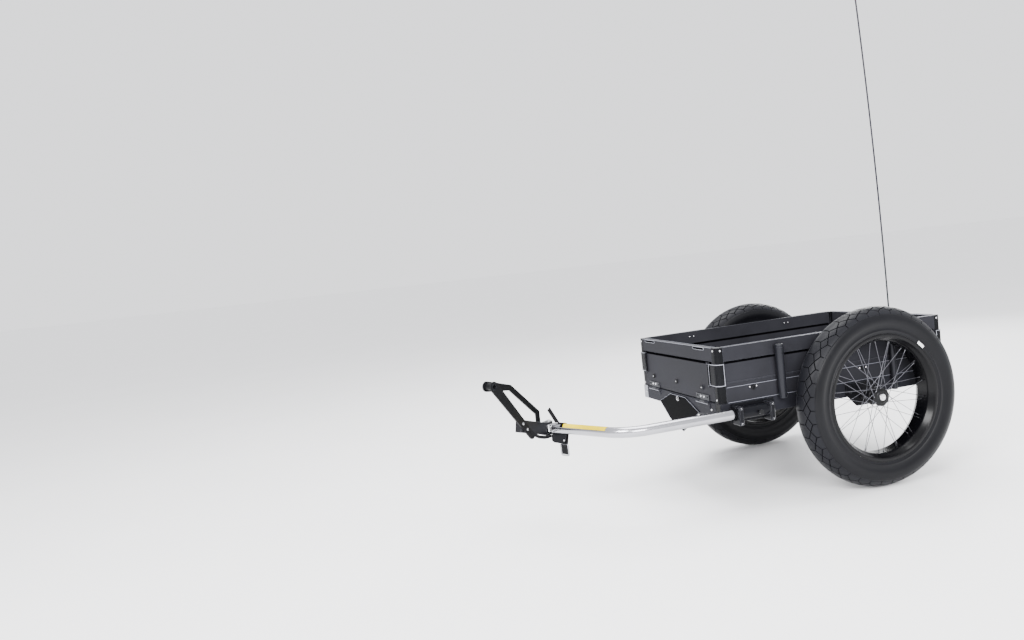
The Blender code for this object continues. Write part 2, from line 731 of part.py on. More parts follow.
def build_end_wall(end, sign, root):
    """A folding end wall on its hinge line, with the moving hinge leaves and both corner latches."""
    face = BOX_FRONT if end == "front" else BOX_REAR
    axis_y, axis_z = sign * (face + HINGE_AXIS_OUT), WALL_FOOT - HINGE_AXIS_DROP
    wall = make_empty(end + "_wall", root, (0, axis_y, axis_z))
    back, front = -sign * (HINGE_AXIS_OUT + WALL_THICKNESS), -sign * HINGE_AXIS_OUT
    half = HALF_BOX - POST_SIZE - RUN_GAP
    board = WALL_TOP - BOARD_HEIGHT - axis_z
    ys = sorted((back, front))
    foot, top = HINGE_AXIS_DROP, WALL_TOP - axis_z
    panel_low, panel_high = (-half, ys[0], foot), (half, ys[1], board - SEAT_GAP)
    panel = box(end + "_wall_panel", panel_low, panel_high, SATIN_BLACK, wall, SMALL_EDGE)
    board_low, board_high = (-half, ys[0], board), (half, ys[1], top)
    box(end + "_wall_upper_board", board_low, board_high, SATIN_BLACK, wall, SMALL_EDGE)
    if end == "front":
        height = WALL_FOOT + BUMPER_RISE - axis_z
        for place in (BUMPER_INSET - HALF_BOX, 0, HALF_BOX - BUMPER_INSET):
            start = (place, front - sign * SEAT_GAP, height)
            stop = (place, front + sign * BUMPER_PROUD, height)
            name = "bumper_" + str(round(place * 1000))
            join(panel, rod(name, BUMPER_RADIUS, start, stop, RUBBER, wall, 20))
    half_hinge = HINGE_WIDTH / 2
    for centre in (HINGE_INSET - HALF_BOX, HALF_BOX - HINGE_INSET):
        side = "left" if centre > 0 else "right"
        name = end + "_" + side + "_hinge_leaf"
        inner_y = front + sign * SEAT_GAP
        leaf_ys = sorted((inner_y, inner_y + sign * HINGE_LEAF))
        leaf_foot = HINGE_AXIS_DROP + RUN_GAP
        low = (centre - half_hinge, leaf_ys[0], leaf_foot)
        high = (centre + half_hinge, leaf_ys[1], leaf_foot + LEAF_HEIGHT)
        leaf = box(name, low, high, GREY_METAL, wall)
        half_knuckle = KNUCKLE_WIDTH / 2
        web_low = (centre - half_knuckle, leaf_ys[0], 0)
        web_high = (centre + half_knuckle, leaf_ys[1], leaf_foot + SEAT_GAP)
        join(leaf, box(name + "_web", web_low, web_high, GREY_METAL, wall))
        start, stop = (centre - half_knuckle, 0, 0), (centre + half_knuckle, 0, 0)
        join(leaf, rod(name + "_knuckle", KNUCKLE_RADIUS, start, stop, GREY_METAL, wall, 12))
        start, stop = (centre - KNUCKLE_WIDTH, 0, 0), (centre + KNUCKLE_WIDTH, 0, 0)
        bore = HINGE_PIN_RADIUS + SEAT_GAP
        cut(leaf, rod(name + "_bore", bore, start, stop, GREY_METAL, wall, 12))
    for side, x_sign in (("left", 1), ("right", -1)):
        build_latch(side, end, x_sign, sign, panel, wall, front, axis_z)


def build_latch(side, end, x_sign, y_sign, panel, wall, face_y, axis_z):
    """A sheet clip that turns on a pin held in two lugs on the end wall and wraps the corner post."""
    name = end + "_" + side + "_latch"
    pin_x = HALF_BOX - LATCH_FRONT_LEG
    height = LATCH_BOTTOM - axis_z + LATCH_HEIGHT / 2
    latch = make_empty(name + "_pivot", wall, (x_sign * pin_x, face_y + y_sign * LATCH_OUT, height))
    inner, outer = LATCH_STANDOFF, LATCH_STANDOFF + LATCH_SHEET
    reach = HALF_BOX - POST_CORNER_RADIUS - pin_x
    drop = -LATCH_OUT
    centre = (reach, drop - POST_CORNER_RADIUS)
    outline = [(0, drop + inner), (0, drop + outer)]
    outline += arc(centre, POST_CORNER_RADIUS + outer, math.pi / 2, 0, 5)
    outline += [
        (reach + POST_CORNER_RADIUS + outer, drop - LATCH_SIDE_LEG),
        (reach + POST_CORNER_RADIUS + inner, drop - LATCH_SIDE_LEG),
    ]
    outline += arc(centre, POST_CORNER_RADIUS + inner, 0, math.pi / 2, 5)
    outline = [(x_sign * x, y_sign * y) for x, y in outline]
    clip = plate(name, [outline], LATCH_HEIGHT, SATIN_BLACK, latch)
    half = LATCH_HEIGHT / 2
    start, stop = (0, 0, -half), (0, 0, half)
    join(clip, rod(name + "_knuckle", LATCH_KNUCKLE_RADIUS, start, stop, SATIN_BLACK, latch, 16))
    lug_reach = half + RUN_GAP + LATCH_LUG_HEIGHT
    start, stop = (0, 0, -lug_reach), (0, 0, lug_reach)
    bore = LATCH_PIN_RADIUS + SEAT_GAP
    cut(clip, rod(name + "_bore", bore, start, stop, SATIN_BLACK, latch, 12))
    lug_half = LATCH_KNUCKLE_RADIUS
    lug_ys = sorted((-y_sign * (LATCH_OUT + SEAT_GAP), y_sign * lug_half))
    for way, mark in ((-1, "_lower"), (1, "_upper")):
        zs = sorted((way * (half + RUN_GAP), way * lug_reach))
        low, high = (-lug_half, lug_ys[0], zs[0]), (lug_half, lug_ys[1], zs[1])
        join(panel, box(name + mark + "_lug", low, high, SATIN_BLACK, latch))
    join(panel, rod(name + "_pin", LATCH_PIN_RADIUS, start, stop, SILVER, latch, 10))


def tapered(first, first_radius, second, second_radius, steps=8):
    """The outline round two circles, straight between them, starting on the first."""
    first, second = Vector(first), Vector(second)
    across = second - first
    facing = math.atan2(across.y, across.x)
    lean = math.acos((first_radius - second_radius) / across.length)
    back = arc(first, first_radius, facing + lean, facing + math.tau - lean, steps)
    return back + arc(second, second_radius, facing - lean, facing + lean, steps)


def bent_strip(points, half, eye_radius):
    """The outline of a strip along points, with mitred bends and a round eye about the last point."""
    points = [Vector(point) for point in points]
    ways = [(after - before).normalized() for before, after in zip(points, points[1:])]
    right, left = [], []
    for number, point in enumerate(points[:-1]):
        before = ways[max(number - 1, 0)]
        mitre = (before + ways[number]).normalized()
        reach = half / mitre.dot(ways[number])
        side = Vector((mitre.y, -mitre.x)) * reach
        right.append(tuple(point + side))
        left.append(tuple(point - side))
    facing = math.atan2(ways[-1].y, ways[-1].x)
    lean = math.acos((half - eye_radius) / (points[-1] - points[-2]).length)
    return right + arc(points[-1], eye_radius, facing - lean, facing + lean, 12) + left[::-1]


def build_stakes(root):
    """Capped stake tubes on the side walls. The rear left one is a socket, with the flag pole in it."""
    for side, sign in (("left", 1), ("right", -1)):
        for end, radius, y, foot, length in (
            ("front", STAKE_FRONT_RADIUS, STAKE_FRONT_Y, STAKE_FRONT_BOTTOM, STAKE_FRONT_LENGTH),
            ("rear", STAKE_REAR_RADIUS, STAKE_REAR_Y, STAKE_REAR_BOTTOM, STAKE_REAR_LENGTH),
        ):
            x = HALF_BOX + SEAT_GAP + radius
            shoulder = length - STAKE_DOME
            profile = [(0, length), (radius - STAKE_DOME, length), (radius, shoulder), (radius, 0), (0, 0)]
            name = side + "_" + end + "_stake_tube"
            if side == "left" and end == "rear":
                floor = length - SOCKET_DEPTH
                bore = POLE_RADIUS + SEAT_GAP
                profile = [(0, floor), (bore, floor), (bore, length)] + profile[1:]
                name = "flag_pole_socket"
            turned(name, profile, GREY_METAL, root, (sign * x, y, foot), (0, 0, 0), 20)

    x = HALF_BOX + SEAT_GAP + STAKE_REAR_RADIUS
    foot = STAKE_REAR_BOTTOM + STAKE_REAR_LENGTH - SOCKET_DEPTH + SEAT_GAP
    pole = make_empty("flag_pole_slide", root, (x, STAKE_REAR_Y, foot))
    straight = SOCKET_DEPTH + RUN_GAP
    steps = 16
    points = [(0, 0, 0), (0, 0, straight)]
    for step in range(1, steps + 1):
        share = step / steps
        above = (POLE_LENGTH - straight) * share
        points.append((0, -POLE_SET_FORWARD * share * share, straight + above))
    whip = tube("flag_pole", points, POLE_RADIUS, POLE_BLACK, pole)
    top, below = Vector(points[-1]), Vector(points[-2])
    down = (below - top).normalized() * POLE_TIP_RADIUS * 3
    join(whip, rod("pole_tip", POLE_TIP_RADIUS, top + down, top, POLE_BLACK, pole, 12))


def build_skid_plate(root):
    """The folded guard plate under the front rail, with its bolt."""
    half = [
        (SKID_TOP_HALF, SKID_TOP_Z),
        (SKID_SHOULDER_HALF, SKID_SHOULDER_Z),
        (SKID_LOWER_HALF, SKID_LOWER_Z),
        (SKID_TIP_HALF, SKID_TIP_Z),
    ]
    outline = [(0, SKID_TIP_Z + SKID_NOTCH)] + half[::-1] + [(-x, z) for x, z in half]
    y = -(BOX_FRONT + SEAT_GAP + SKID_THICKNESS / 2)
    skid = plate("skid_plate", [outline], SKID_THICKNESS, DEEP_BLACK, root, (0, y, 0), (math.pi / 2, 0, 0))
    bevel(skid, SHEET_EDGE)
    height = SKID_TOP_Z - SKID_BOLT_DROP
    start, stop = (0, y, height), (0, y - SKID_THICKNESS * 2, height)
    join(skid, rod("skid_bolt", SKID_BOLT_RADIUS, start, stop, SILVER, root, 16))


def build_receiver(root):
    """The receiver on the left rail: backing plate, tube, mouth collar, two clamps and the lock pin."""
    rear = RECEIVER_FRONT + RECEIVER_LENGTH
    tube_start, tube_stop = (BAR_X, RECEIVER_FRONT, BAR_Z), (BAR_X, rear, BAR_Z)
    receiver = rod("receiver_tube", RECEIVER_RADIUS, tube_start, tube_stop, GREY_METAL, root, 32)
    boss_reach = BAR_X + RECEIVER_RADIUS + PIN_SHANK_OUT - RUN_GAP
    start, stop = (BAR_X + BAR_RADIUS + RECEIVER_WALL / 2, PIN_Y, BAR_Z), (boss_reach, PIN_Y, BAR_Z)
    join(receiver, rod("pin_boss", PIN_RADIUS * 2, start, stop, GREY_METAL, root, 16))
    bore = BAR_RADIUS + SEAT_GAP
    start, stop = (BAR_X, RECEIVER_FRONT - CUT_PAST, BAR_Z), (BAR_X, rear + CUT_PAST, BAR_Z)
    cut(receiver, rod("receiver_bore", bore, start, stop, GREY_METAL, root, 32))
    start, stop = (BAR_X, PIN_Y, BAR_Z), (BAR_X + BAR_RADIUS * 2, PIN_Y, BAR_Z)
    cut(receiver, rod("pin_bore", PIN_RADIUS + SEAT_GAP, start, stop, GREY_METAL, root, 12))

    start = (BAR_X, RECEIVER_FRONT - SEAT_GAP, BAR_Z)
    stop = (BAR_X, RECEIVER_FRONT - SEAT_GAP - COLLAR_WIDTH, BAR_Z)
    collar = rod("receiver_collar", RECEIVER_RADIUS + COLLAR_WALL, start, stop, DEEP_BLACK, root, 32)
    start = (BAR_X, RECEIVER_FRONT + CUT_PAST, BAR_Z)
    stop = (BAR_X, RECEIVER_FRONT - COLLAR_WIDTH - CUT_PAST, BAR_Z)
    cut(collar, rod("collar_bore", bore, start, stop, DEEP_BLACK, root, 32))

    inner = HALF_BOX + SEAT_GAP + BACKING_THICKNESS + SEAT_GAP
    outer = BAR_X + RECEIVER_RADIUS + CLAMP_WALL
    middle = BAR_Z - CLAMP_DROP
    for name, y in (("front", RECEIVER_FRONT + CLAMP_INSET), ("rear", rear - CLAMP_INSET - CLAMP_WIDTH)):
        low = (inner, y, middle - CLAMP_HEIGHT / 2)
        high = (outer, y + CLAMP_WIDTH, middle + CLAMP_HEIGHT / 2)
        clamp = box("receiver_" + name + "_clamp", low, high, SATIN_BLACK, root, CLAMP_EDGE)
        start, stop = (BAR_X, y - CUT_PAST, BAR_Z), (BAR_X, y + CLAMP_WIDTH + CUT_PAST, BAR_Z)
        bore_radius = RECEIVER_RADIUS + SEAT_GAP
        cut(clamp, rod(name + "_clamp_bore", bore_radius, start, stop, SATIN_BLACK, root, 32))
        for way in (-1, 1):
            height = middle + way * (CLAMP_HEIGHT / 2 - CLAMP_BOLT_RADIUS - CLAMP_INSET / 2)
            start = (outer - CLAMP_INSET, y + CLAMP_WIDTH / 2, height)
            stop = (outer + CLAMP_INSET, y + CLAMP_WIDTH / 2, height)
            mark = "_low" if way < 0 else "_high"
            bolt = rod(name + "_clamp_bolt" + mark, CLAMP_BOLT_RADIUS, start, stop, SILVER, root, 12)
            join(clamp, bolt)

    top = RAIL_TOP - CLAMP_INSET
    foot = middle - CLAMP_HEIGHT / 2 + CLAMP_INSET
    back = rear + GUSSET_LENGTH
    outline = [(RECEIVER_FRONT, foot), (RECEIVER_FRONT, top), (back, top), (back, RAIL_BOTTOM)]
    centre = (rear + GUSSET_LENGTH, foot)
    outline += arc(centre, RAIL_BOTTOM - foot, math.pi / 2, math.pi, 5)[1:]
    place = (HALF_BOX + SEAT_GAP + BACKING_THICKNESS / 2, 0, 0)
    upright = (math.pi / 2, 0, math.pi / 2)
    backing = plate(
        "receiver_backing_plate", [outline], BACKING_THICKNESS, SATIN_BLACK, root, place, upright
    )
    bevel(backing, SHEET_EDGE)

    pin = make_empty("lock_pin_pull", root, (BAR_X + RECEIVER_RADIUS, PIN_Y, BAR_Z))
    nose = BAR_RADIUS + SEAT_GAP - RECEIVER_RADIUS
    lock = rod("drawbar_lock_pin", PIN_RADIUS, (nose, 0, 0), (PIN_SHANK_OUT, 0, 0), SILVER, pin, 12)
    start, stop = (PIN_SHANK_OUT - SEAT_GAP, 0, 0), (PIN_SHANK_OUT + PIN_HEAD_LENGTH, 0, 0)
    join(lock, rod("lock_pin_head", PIN_HEAD_RADIUS, start, stop, SILVER, pin, 20))


def build_drawbar(root):
    """The bent drawbar, whose empty is on its slide line, and what is fixed at its tip."""
    bar = make_empty("drawbar_slide", root, (BAR_X, RECEIVER_FRONT, BAR_Z))
    corner = Vector((0, BAR_CORNER_Y - RECEIVER_FRONT, 0))
    tip = Vector((-BAR_X, BAR_TIP_Y - RECEIVER_FRONT, BAR_TIP_Z - BAR_Z))
    back = (corner - tip).normalized()
    slope = math.atan2(back.z, math.hypot(back.x, back.y))
    heading = math.atan2(back.y, back.x)
    ahead = Vector((0, -1, 0))
    half_turn = ahead.angle(-back) / 2
    run = BAR_BEND_RADIUS * math.tan(half_turn)
    middle = corner + (back * -1 - ahead).normalized() * BAR_BEND_RADIUS / math.cos(half_turn)
    spoke = corner - ahead * run - middle
    turn_axis = ahead.cross(-back).normalized()
    steps = 8
    bend = [
        middle + Matrix.Rotation(2 * half_turn * step / steps, 3, turn_axis) @ spoke
        for step in range(steps + 1)
    ]
    plug_end = TONGUE_LENGTH + PLUG_LENGTH
    end = tip + back * (plug_end + SEAT_GAP)
    points = [Vector((0, BAR_INSERT, 0))] + bend + [end]
    drawbar = tube("drawbar", points, BAR_RADIUS, POLISHED, bar, 7)
    points[0] = points[0] + Vector((0, CUT_PAST, 0))
    points[-1] = points[-1] - back * CUT_PAST
    cut(drawbar, tube("drawbar_bore", points, BAR_RADIUS - BAR_WALL, POLISHED, bar, 3))

    coupling = make_empty("coupling", bar, tip, (0, 0, heading))
    tilted = make_empty("bar_end", coupling, (0, 0, 0), (0, -slope, 0))
    half_eye = EYE_HEIGHT / 2
    head = rod("coupling_head", EYE_RADIUS, (0, 0, -half_eye), (0, 0, half_eye), POLISHED, coupling, 32)
    half_tongue = half_eye - RUN_GAP
    low, high = (0, -half_tongue, -half_tongue), (TONGUE_LENGTH, half_tongue, half_tongue)
    join(head, box("coupling_tongue", low, high, POLISHED, tilted))
    front, shoulder = TONGUE_LENGTH - RUN_GAP, TONGUE_LENGTH - RUN_GAP + PLUG_CHAMFER
    nose, rear = BAR_RADIUS - PLUG_CHAMFER, BAR_RADIUS - SHEET_EDGE
    start, stop = (front, 0, 0), (shoulder + RUN_GAP, 0, 0)
    join(head, rod("coupling_nose", nose, start, stop, POLISHED, tilted, 24, rear))
    start, stop = (shoulder, 0, 0), (plug_end, 0, 0)
    join(head, rod("coupling_plug", BAR_RADIUS, start, stop, POLISHED, tilted, 24))
    spigot = BAR_RADIUS - BAR_WALL - BORE_CLEARANCE
    start, stop = (plug_end - RUN_GAP, 0, 0), (plug_end + TONGUE_LENGTH, 0, 0)
    join(head, rod("coupling_spigot", spigot, start, stop, POLISHED, tilted, 16))
    start, stop = (0, 0, -EYE_HEIGHT), (0, 0, EYE_HEIGHT)
    cut(head, rod("coupling_bore", KINGPIN_RADIUS + SEAT_GAP, start, stop, POLISHED, coupling, 24))

    rise = math.tan(slope)
    under = -(BAR_RADIUS + SEAT_GAP) / math.cos(slope)
    left, right = TONGUE_LENGTH, TONGUE_LENGTH + COUPLING_PLATE_LENGTH
    bottom = -COUPLING_PLATE_BOTTOM
    shelf = -(half_eye + RUN_GAP + CHEEK_HEIGHT + KINGPIN_HEAD_HEIGHT + RUN_GAP)
    outline = [
        (left, under + rise * left),
        (right, under + rise * right),
        (right - COUPLING_PLATE_SLANT, bottom + COUPLING_PLATE_SLANT / 2),
        (right - 2 * COUPLING_PLATE_SLANT, bottom),
        (COUPLING_PLATE_FRONT + COUPLING_PLATE_SLANT, bottom),
        (COUPLING_PLATE_FRONT, bottom + COUPLING_PLATE_SLANT / 2),
        (COUPLING_PLATE_FRONT, shelf),
        (left - COUPLING_PLATE_SLANT / 2, shelf),
    ]
    flat = (math.pi / 2, 0, 0)
    hanger = plate(
        "coupling_plate", [outline], COUPLING_PLATE_THICKNESS, DEEP_BLACK, coupling, (0, 0, 0), flat
    )
    bevel(hanger, SHEET_EDGE)
    build_strap(tilted)
    return bar, tip


def build_strap(bar_end):
    """The safety strap: webbing over the bar and down its far side to a ring, with a flap and a free tail."""
    ring_top = RING_HEIGHT - RING_DROP
    inner = RING_WIRE_RADIUS + SEAT_GAP
    over = BAR_RADIUS + SEAT_GAP
    bar_middle, wire_middle = (0, 0), (0, ring_top)
    leave = math.acos((inner - over) / ring_top) - math.pi / 2
    wire_end = STRAP_WIRE_END
    line = arc(bar_middle, over + STRAP_THICKNESS, STRAP_TOP_END, leave, 12)
    line += arc(wire_middle, inner + STRAP_THICKNESS, leave, wire_end, 12)
    line += arc(wire_middle, inner, wire_end, leave, 12)
    line += arc(bar_middle, over, leave, STRAP_TOP_END, 12)
    flat = (math.pi / 2, 0, 0)
    across = (math.pi / 2, 0, math.pi / 2)
    place = (STRAP_BACK, 0, 0)
    strap = plate("safety_strap", [line], STRAP_WIDTH, WEBBING, bar_end, place, across)
    half = STRAP_THICKNESS / 2
    flap_top = ring_top - inner - half
    flap_foot = -(RING_DROP - RING_WIRE_RADIUS - RUN_GAP)
    low = (STRAP_BACK - STRAP_WIDTH / 2, -half, flap_foot)
    high = (STRAP_BACK + STRAP_WIDTH / 2, half, flap_top)
    join(strap, box("strap_flap", low, high, WEBBING, bar_end))
    base = over + half
    left = TAIL_BACK
    right = left + TAIL_WIDTH / math.cos(TAIL_LEAN)
    run, climb = TAIL_LENGTH * math.sin(TAIL_LEAN), TAIL_LENGTH * math.cos(TAIL_LEAN)
    end_across, end_up = TAIL_WIDTH * math.cos(TAIL_LEAN), TAIL_WIDTH * math.sin(TAIL_LEAN)
    end = (left - run + end_across, base + climb + end_up)
    outline = [(left, base), (right, base), end, (left - run, base + climb)]
    tail = plate("strap_tail", [outline], STRAP_THICKNESS, WEBBING, bar_end, (0, 0, 0), flat)
    join(strap, tail)

    half_width, corner = RING_WIDTH / 2, RING_CORNER
    low_z, high_z = -RING_DROP, ring_top
    corners = (
        ((half_width - corner, high_z - corner), 0),
        ((corner - half_width, high_z - corner), 1),
        ((corner - half_width, low_z + corner), 2),
        ((half_width - corner, low_z + corner), 3),
    )
    points = []
    for centre, quarter in corners:
        start = quarter * math.pi / 2
        for x, z in arc(centre, corner, start, start + math.pi / 2, 3):
            points.append((STRAP_BACK + x, 0, z))
    tube("strap_ring", points, RING_WIRE_RADIUS, SILVER, bar_end, 2, cyclic=True)


def build_hitch(bar, tip):
    """The hitch bracket: a block on the kingpin and two flat arms up to the bicycle's axle end."""
    hitch = make_empty("hitch", bar, tip, (0, 0, HITCH_YAW - math.pi / 2))
    half_eye = EYE_HEIGHT / 2
    half_neck = half_eye + RUN_GAP + CHEEK_HEIGHT
    half_height, half_width = HITCH_BLOCK_HEIGHT / 2, HITCH_BLOCK_WIDTH / 2
    outline = [
        (HITCH_NECK, -half_neck),
        (HITCH_REACH, HITCH_RISE - half_height),
        (HITCH_REACH - HITCH_SLANT, HITCH_RISE + half_height),
        (HITCH_NECK, half_neck),
    ]
    flat = (math.pi / 2, 0, 0)
    block = plate("hitch_block", [outline], HITCH_BLOCK_WIDTH, DEEP_BLACK, hitch, (0, 0, 0), flat)
    bevel(block, RAIL_EDGE)
    for way, mark in ((-1, "_lower"), (1, "_upper")):
        zs = sorted((way * (half_eye + RUN_GAP), way * half_neck))
        start, stop = (0, 0, zs[0]), (0, 0, zs[1])
        join(block, rod("cheek" + mark, half_width, start, stop, DEEP_BLACK, hitch, 24))
        low, high = (0, -half_width, zs[0]), (HITCH_NECK + ARM_THICKNESS, half_width, zs[1])
        join(block, box("cheek_web" + mark, low, high, DEEP_BLACK, hitch))
    start, stop = (0, 0, -half_neck * 2), (0, 0, half_neck * 2)
    bore = KINGPIN_RADIUS + SEAT_GAP
    cut(block, rod("hitch_bore", bore, start, stop, DEEP_BLACK, hitch, 24))

    seat = half_neck + SEAT_GAP
    start, stop = (0, 0, -seat), (0, 0, seat)
    kingpin = rod("kingpin", KINGPIN_RADIUS, start, stop, SILVER, hitch, 20)
    for way, mark in ((-1, "_foot"), (1, "_head")):
        start, stop = (0, 0, way * seat), (0, 0, way * (seat + KINGPIN_HEAD_HEIGHT - SEAT_GAP))
        join(kingpin, rod("kingpin" + mark, KINGPIN_HEAD_RADIUS, start, stop, SILVER, hitch, 20))

    eye = (EYE_REACH, EYE_RISE)
    offset = half_width + SEAT_GAP + ARM_THICKNESS / 2
    foot = (NEAR_ARM_FOOT, NEAR_ARM_FOOT_RISE)
    near = tapered(foot, ARM_WIDTH / 2, eye, ARM_EYE_RADIUS)
    far_foot = (FAR_ARM_FOOT, FAR_ARM_FOOT_RISE)
    knee = (FAR_ARM_FOOT, FAR_ARM_KNEE_RISE)
    elbow = (FAR_ARM_ELBOW, FAR_ARM_ELBOW_RISE)
    far = bent_strip([far_foot, knee, elbow, eye], FAR_ARM_WIDTH / 2, ARM_EYE_RADIUS)
    for name, foot, toward, outline, way, first_bolt, spacing in (
        ("near", foot, eye, near, 1, NEAR_ARM_FIRST_BOLT, ARM_BOLT_SPACING),
        ("far", far_foot, knee, far, -1, FAR_ARM_FIRST_BOLT, FAR_BOLT_SPACING),
    ):
        hole = circle(eye, BICYCLE_AXLE_RADIUS, 20)
        outlines = [outline, hole] if name == "near" else [outline]
        place = (0, way * offset, 0)
        arm = plate("hitch_" + name + "_arm", outlines, ARM_THICKNESS, SATIN_BLACK, hitch, place, flat)
        along = (Vector(toward) - Vector(foot)).normalized()
        for number in range(2):
            spot = Vector(foot) + along * (first_bolt + number * spacing)
            start = (spot.x, way * offset, spot.y)
            stop = (spot.x, way * (offset + ARM_THICKNESS / 2 + ARM_BOLT_PROUD), spot.y)
            bolt = rod(name + "_bolt_" + str(number), ARM_BOLT_RADIUS, start, stop, SILVER, hitch, 12)
            join(arm, bolt)
        if name == "far":
            start, stop = (EYE_REACH, -offset, EYE_RISE), (EYE_REACH, half_width, EYE_RISE)
            spacer = BICYCLE_AXLE_RADIUS + ARM_THICKNESS
            join(arm, rod("axle_spacer", spacer, start, stop, SATIN_BLACK, hitch, 24))
            start = (EYE_REACH, -HITCH_BLOCK_WIDTH, EYE_RISE)
            stop = (EYE_REACH, HITCH_BLOCK_WIDTH, EYE_RISE)
            cut(arm, rod("axle_bore", BICYCLE_AXLE_RADIUS, start, stop, SATIN_BLACK, hitch, 20))


def main():
    root = make_empty("trailer", None, (0, AXLE_Y, 0))
    build_base(root)
    for side, sign in (("left", 1), ("right", -1)):
        build_side_wall(side, sign, root)
        build_wheel(side, sign, root)
        for end, end_sign in (("front", -1), ("rear", 1)):
            build_post(side, end, sign, end_sign, root)
    for end, sign in (("front", -1), ("rear", 1)):
        build_cross_rail(end, sign, root)
        build_end_wall(end, sign, root)
    build_stakes(root)
    build_skid_plate(root)
    build_receiver(root)
    bar, tip = build_drawbar(root)
    build_hitch(bar, tip)


main()
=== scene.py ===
"""Finishes, smooth forms and small detail of the bicycle trailer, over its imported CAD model.

Metres, +Z up, -Y the way it is towed, +X its left. The driving sizes are read from the CAD nodes.
"""

import math

import bmesh
import bpy
from mathutils import Matrix, Vector


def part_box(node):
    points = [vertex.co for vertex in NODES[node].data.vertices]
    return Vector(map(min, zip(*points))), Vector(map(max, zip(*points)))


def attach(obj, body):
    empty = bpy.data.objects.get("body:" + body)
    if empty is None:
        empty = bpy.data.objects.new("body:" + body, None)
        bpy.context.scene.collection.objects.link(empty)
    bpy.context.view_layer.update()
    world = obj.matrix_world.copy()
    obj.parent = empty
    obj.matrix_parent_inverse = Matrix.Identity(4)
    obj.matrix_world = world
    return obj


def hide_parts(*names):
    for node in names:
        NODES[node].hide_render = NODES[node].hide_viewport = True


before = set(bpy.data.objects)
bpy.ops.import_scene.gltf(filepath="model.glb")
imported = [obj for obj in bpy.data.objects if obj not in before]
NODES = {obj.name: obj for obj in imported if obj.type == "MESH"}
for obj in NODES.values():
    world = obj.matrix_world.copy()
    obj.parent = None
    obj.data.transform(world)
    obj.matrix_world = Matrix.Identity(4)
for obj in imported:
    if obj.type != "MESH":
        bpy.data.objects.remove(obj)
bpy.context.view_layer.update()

# Camera, fitted to the photograph in its 1024 x 640 frame
CAMERA_PLACE = Vector((2.378, -1.3155, 0.855))
CAMERA_HEADING = math.radians(74.835)
CAMERA_TILT = math.radians(3.815)
CAMERA_ROLL = math.radians(-6.422)
SENSOR_MM = 36.0
FOCAL_PIXELS = 732.01
FRAME_PIXELS = 1024

# Surface patterns, in noise cells per metre
MOTTLE_SCALE = 9.0
EDGE_PATCH_SCALE = 60.0
METAL_MOTTLE_SCALE = 14.0
STAGE_MOTTLE_SCALE = 1.5
WAVE_PERIOD = 0.314
EDGE_DOTS = (0.72, 0.99)


def node_size(name):
    low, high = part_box(name)
    return high - low


def node_centre(name):
    low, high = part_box(name)
    return (low + high) / 2


def face_of(name, axis, sign):
    """Where a node's box ends along an axis, on the side that sign gives."""
    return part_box(name)[1 if sign > 0 else 0][axis]


# Materials


class Finish:
    """A Principled material, with short ways to add nodes and join them."""

    def __init__(self, name, colour, roughness, metallic=0.0):
        self.material = bpy.data.materials.new(name)
        self.material.use_nodes = True
        self.tree = self.material.node_tree
        self.shader = self.tree.nodes["Principled BSDF"]
        self.shade({"Base Color": (*colour, 1), "Roughness": roughness, "Metallic": metallic})
        self.place = self.node("TexCoord", {}, "Object")

    def fill(self, node, values):
        """Gives each input its value, or links it where the value is another node's output."""
        for key, value in values.items():
            if isinstance(value, bpy.types.NodeSocket):
                self.tree.links.new(value, node.inputs[key])
            else:
                node.inputs[key].default_value = value

    def shade(self, values):
        self.fill(self.shader, values)

    def node(self, kind, values, output, **settings):
        node = self.tree.nodes.new("ShaderNode" + kind)
        for key, value in settings.items():
            setattr(node, key, value)
        self.fill(node, values)
        return node.outputs[output]

    def noise(self, scale, detail=3.0, roughness=0.5, place=None):
        values = {"Vector": place or self.place, "Scale": scale, "Detail": detail}
        return self.node("TexNoise", {**values, "Roughness": roughness}, "Fac")

    def spread(self, factor, low, high, start=0.3, stop=0.7):
        """Maps a factor's middle range onto low to high."""
        ends = {"From Min": start, "From Max": stop, "To Min": low, "To Max": high}
        return self.node("MapRange", {"Value": factor, **ends}, "Result")

    def blend(self, factor, first, second):
        """A mix of two colours, each a tuple or another node's output."""
        values = {"Factor": factor}
        for key, tone in ((6, first), (7, second)):
            values[key] = (*tone, 1) if isinstance(tone, tuple) else tone
        return self.node("Mix", values, 2, data_type="RGBA")

    def product(self, first, second):
        return self.node("Math", {0: first, 1: second}, 0, operation="MULTIPLY")

    def edges(self, width):
        """1 on sharp edges and 0 on flats: how far the normal turns when rounded over width."""
        rounded = self.node("Bevel", {"Radius": width}, "Normal", samples=6)
        true = self.node("NewGeometry", {}, "Normal")
        dot = self.node("VectorMath", {0: rounded, 1: true}, "Value", operation="DOT_PRODUCT")
        return self.spread(dot, 1.0, 0.0, *EDGE_DOTS)

    def bump(self, height, strength, distance):
        values = {"Strength": strength, "Distance": distance, "Height": height}
        self.shade({"Normal": self.node("Bump", values, "Normal")})


def tint(colour, share):
    return tuple(channel * share for channel in colour)


def coated(name, colour, roughness, shine=0.22, wear_and_glint=None, grain=900.0, relief=0.00006,
           wear_and_glint_width=0.0008, metallic=0.0):
    """A coated or moulded surface: slow mottle, fine grain, and edges lightened, partly as wear and
    partly as a painted highlight.
    """
    finish = Finish(name, colour, roughness, metallic)
    slow = finish.noise(MOTTLE_SCALE, 4.0)
    tone = finish.blend(finish.spread(slow, 0.0, 1.0), tint(colour, 0.82), tint(colour, 1.2))
    # Edges are mixed in patches towards the edge colour: partly wear, partly a painted highlight
    # along the edges.
    if wear_and_glint:
        patchy = finish.spread(finish.noise(EDGE_PATCH_SCALE), 0.45, 1.0)
        tone = finish.blend(finish.product(patchy, finish.edges(wear_and_glint_width)), tone, wear_and_glint)
    gloss = finish.spread(slow, roughness * 0.85, min(1.0, roughness * 1.15))
    finish.shade({"Base Color": tone, "Roughness": gloss, "Specular IOR Level": shine})
    finish.bump(finish.noise(grain, 2.0), 0.6, relief)
    return finish.material


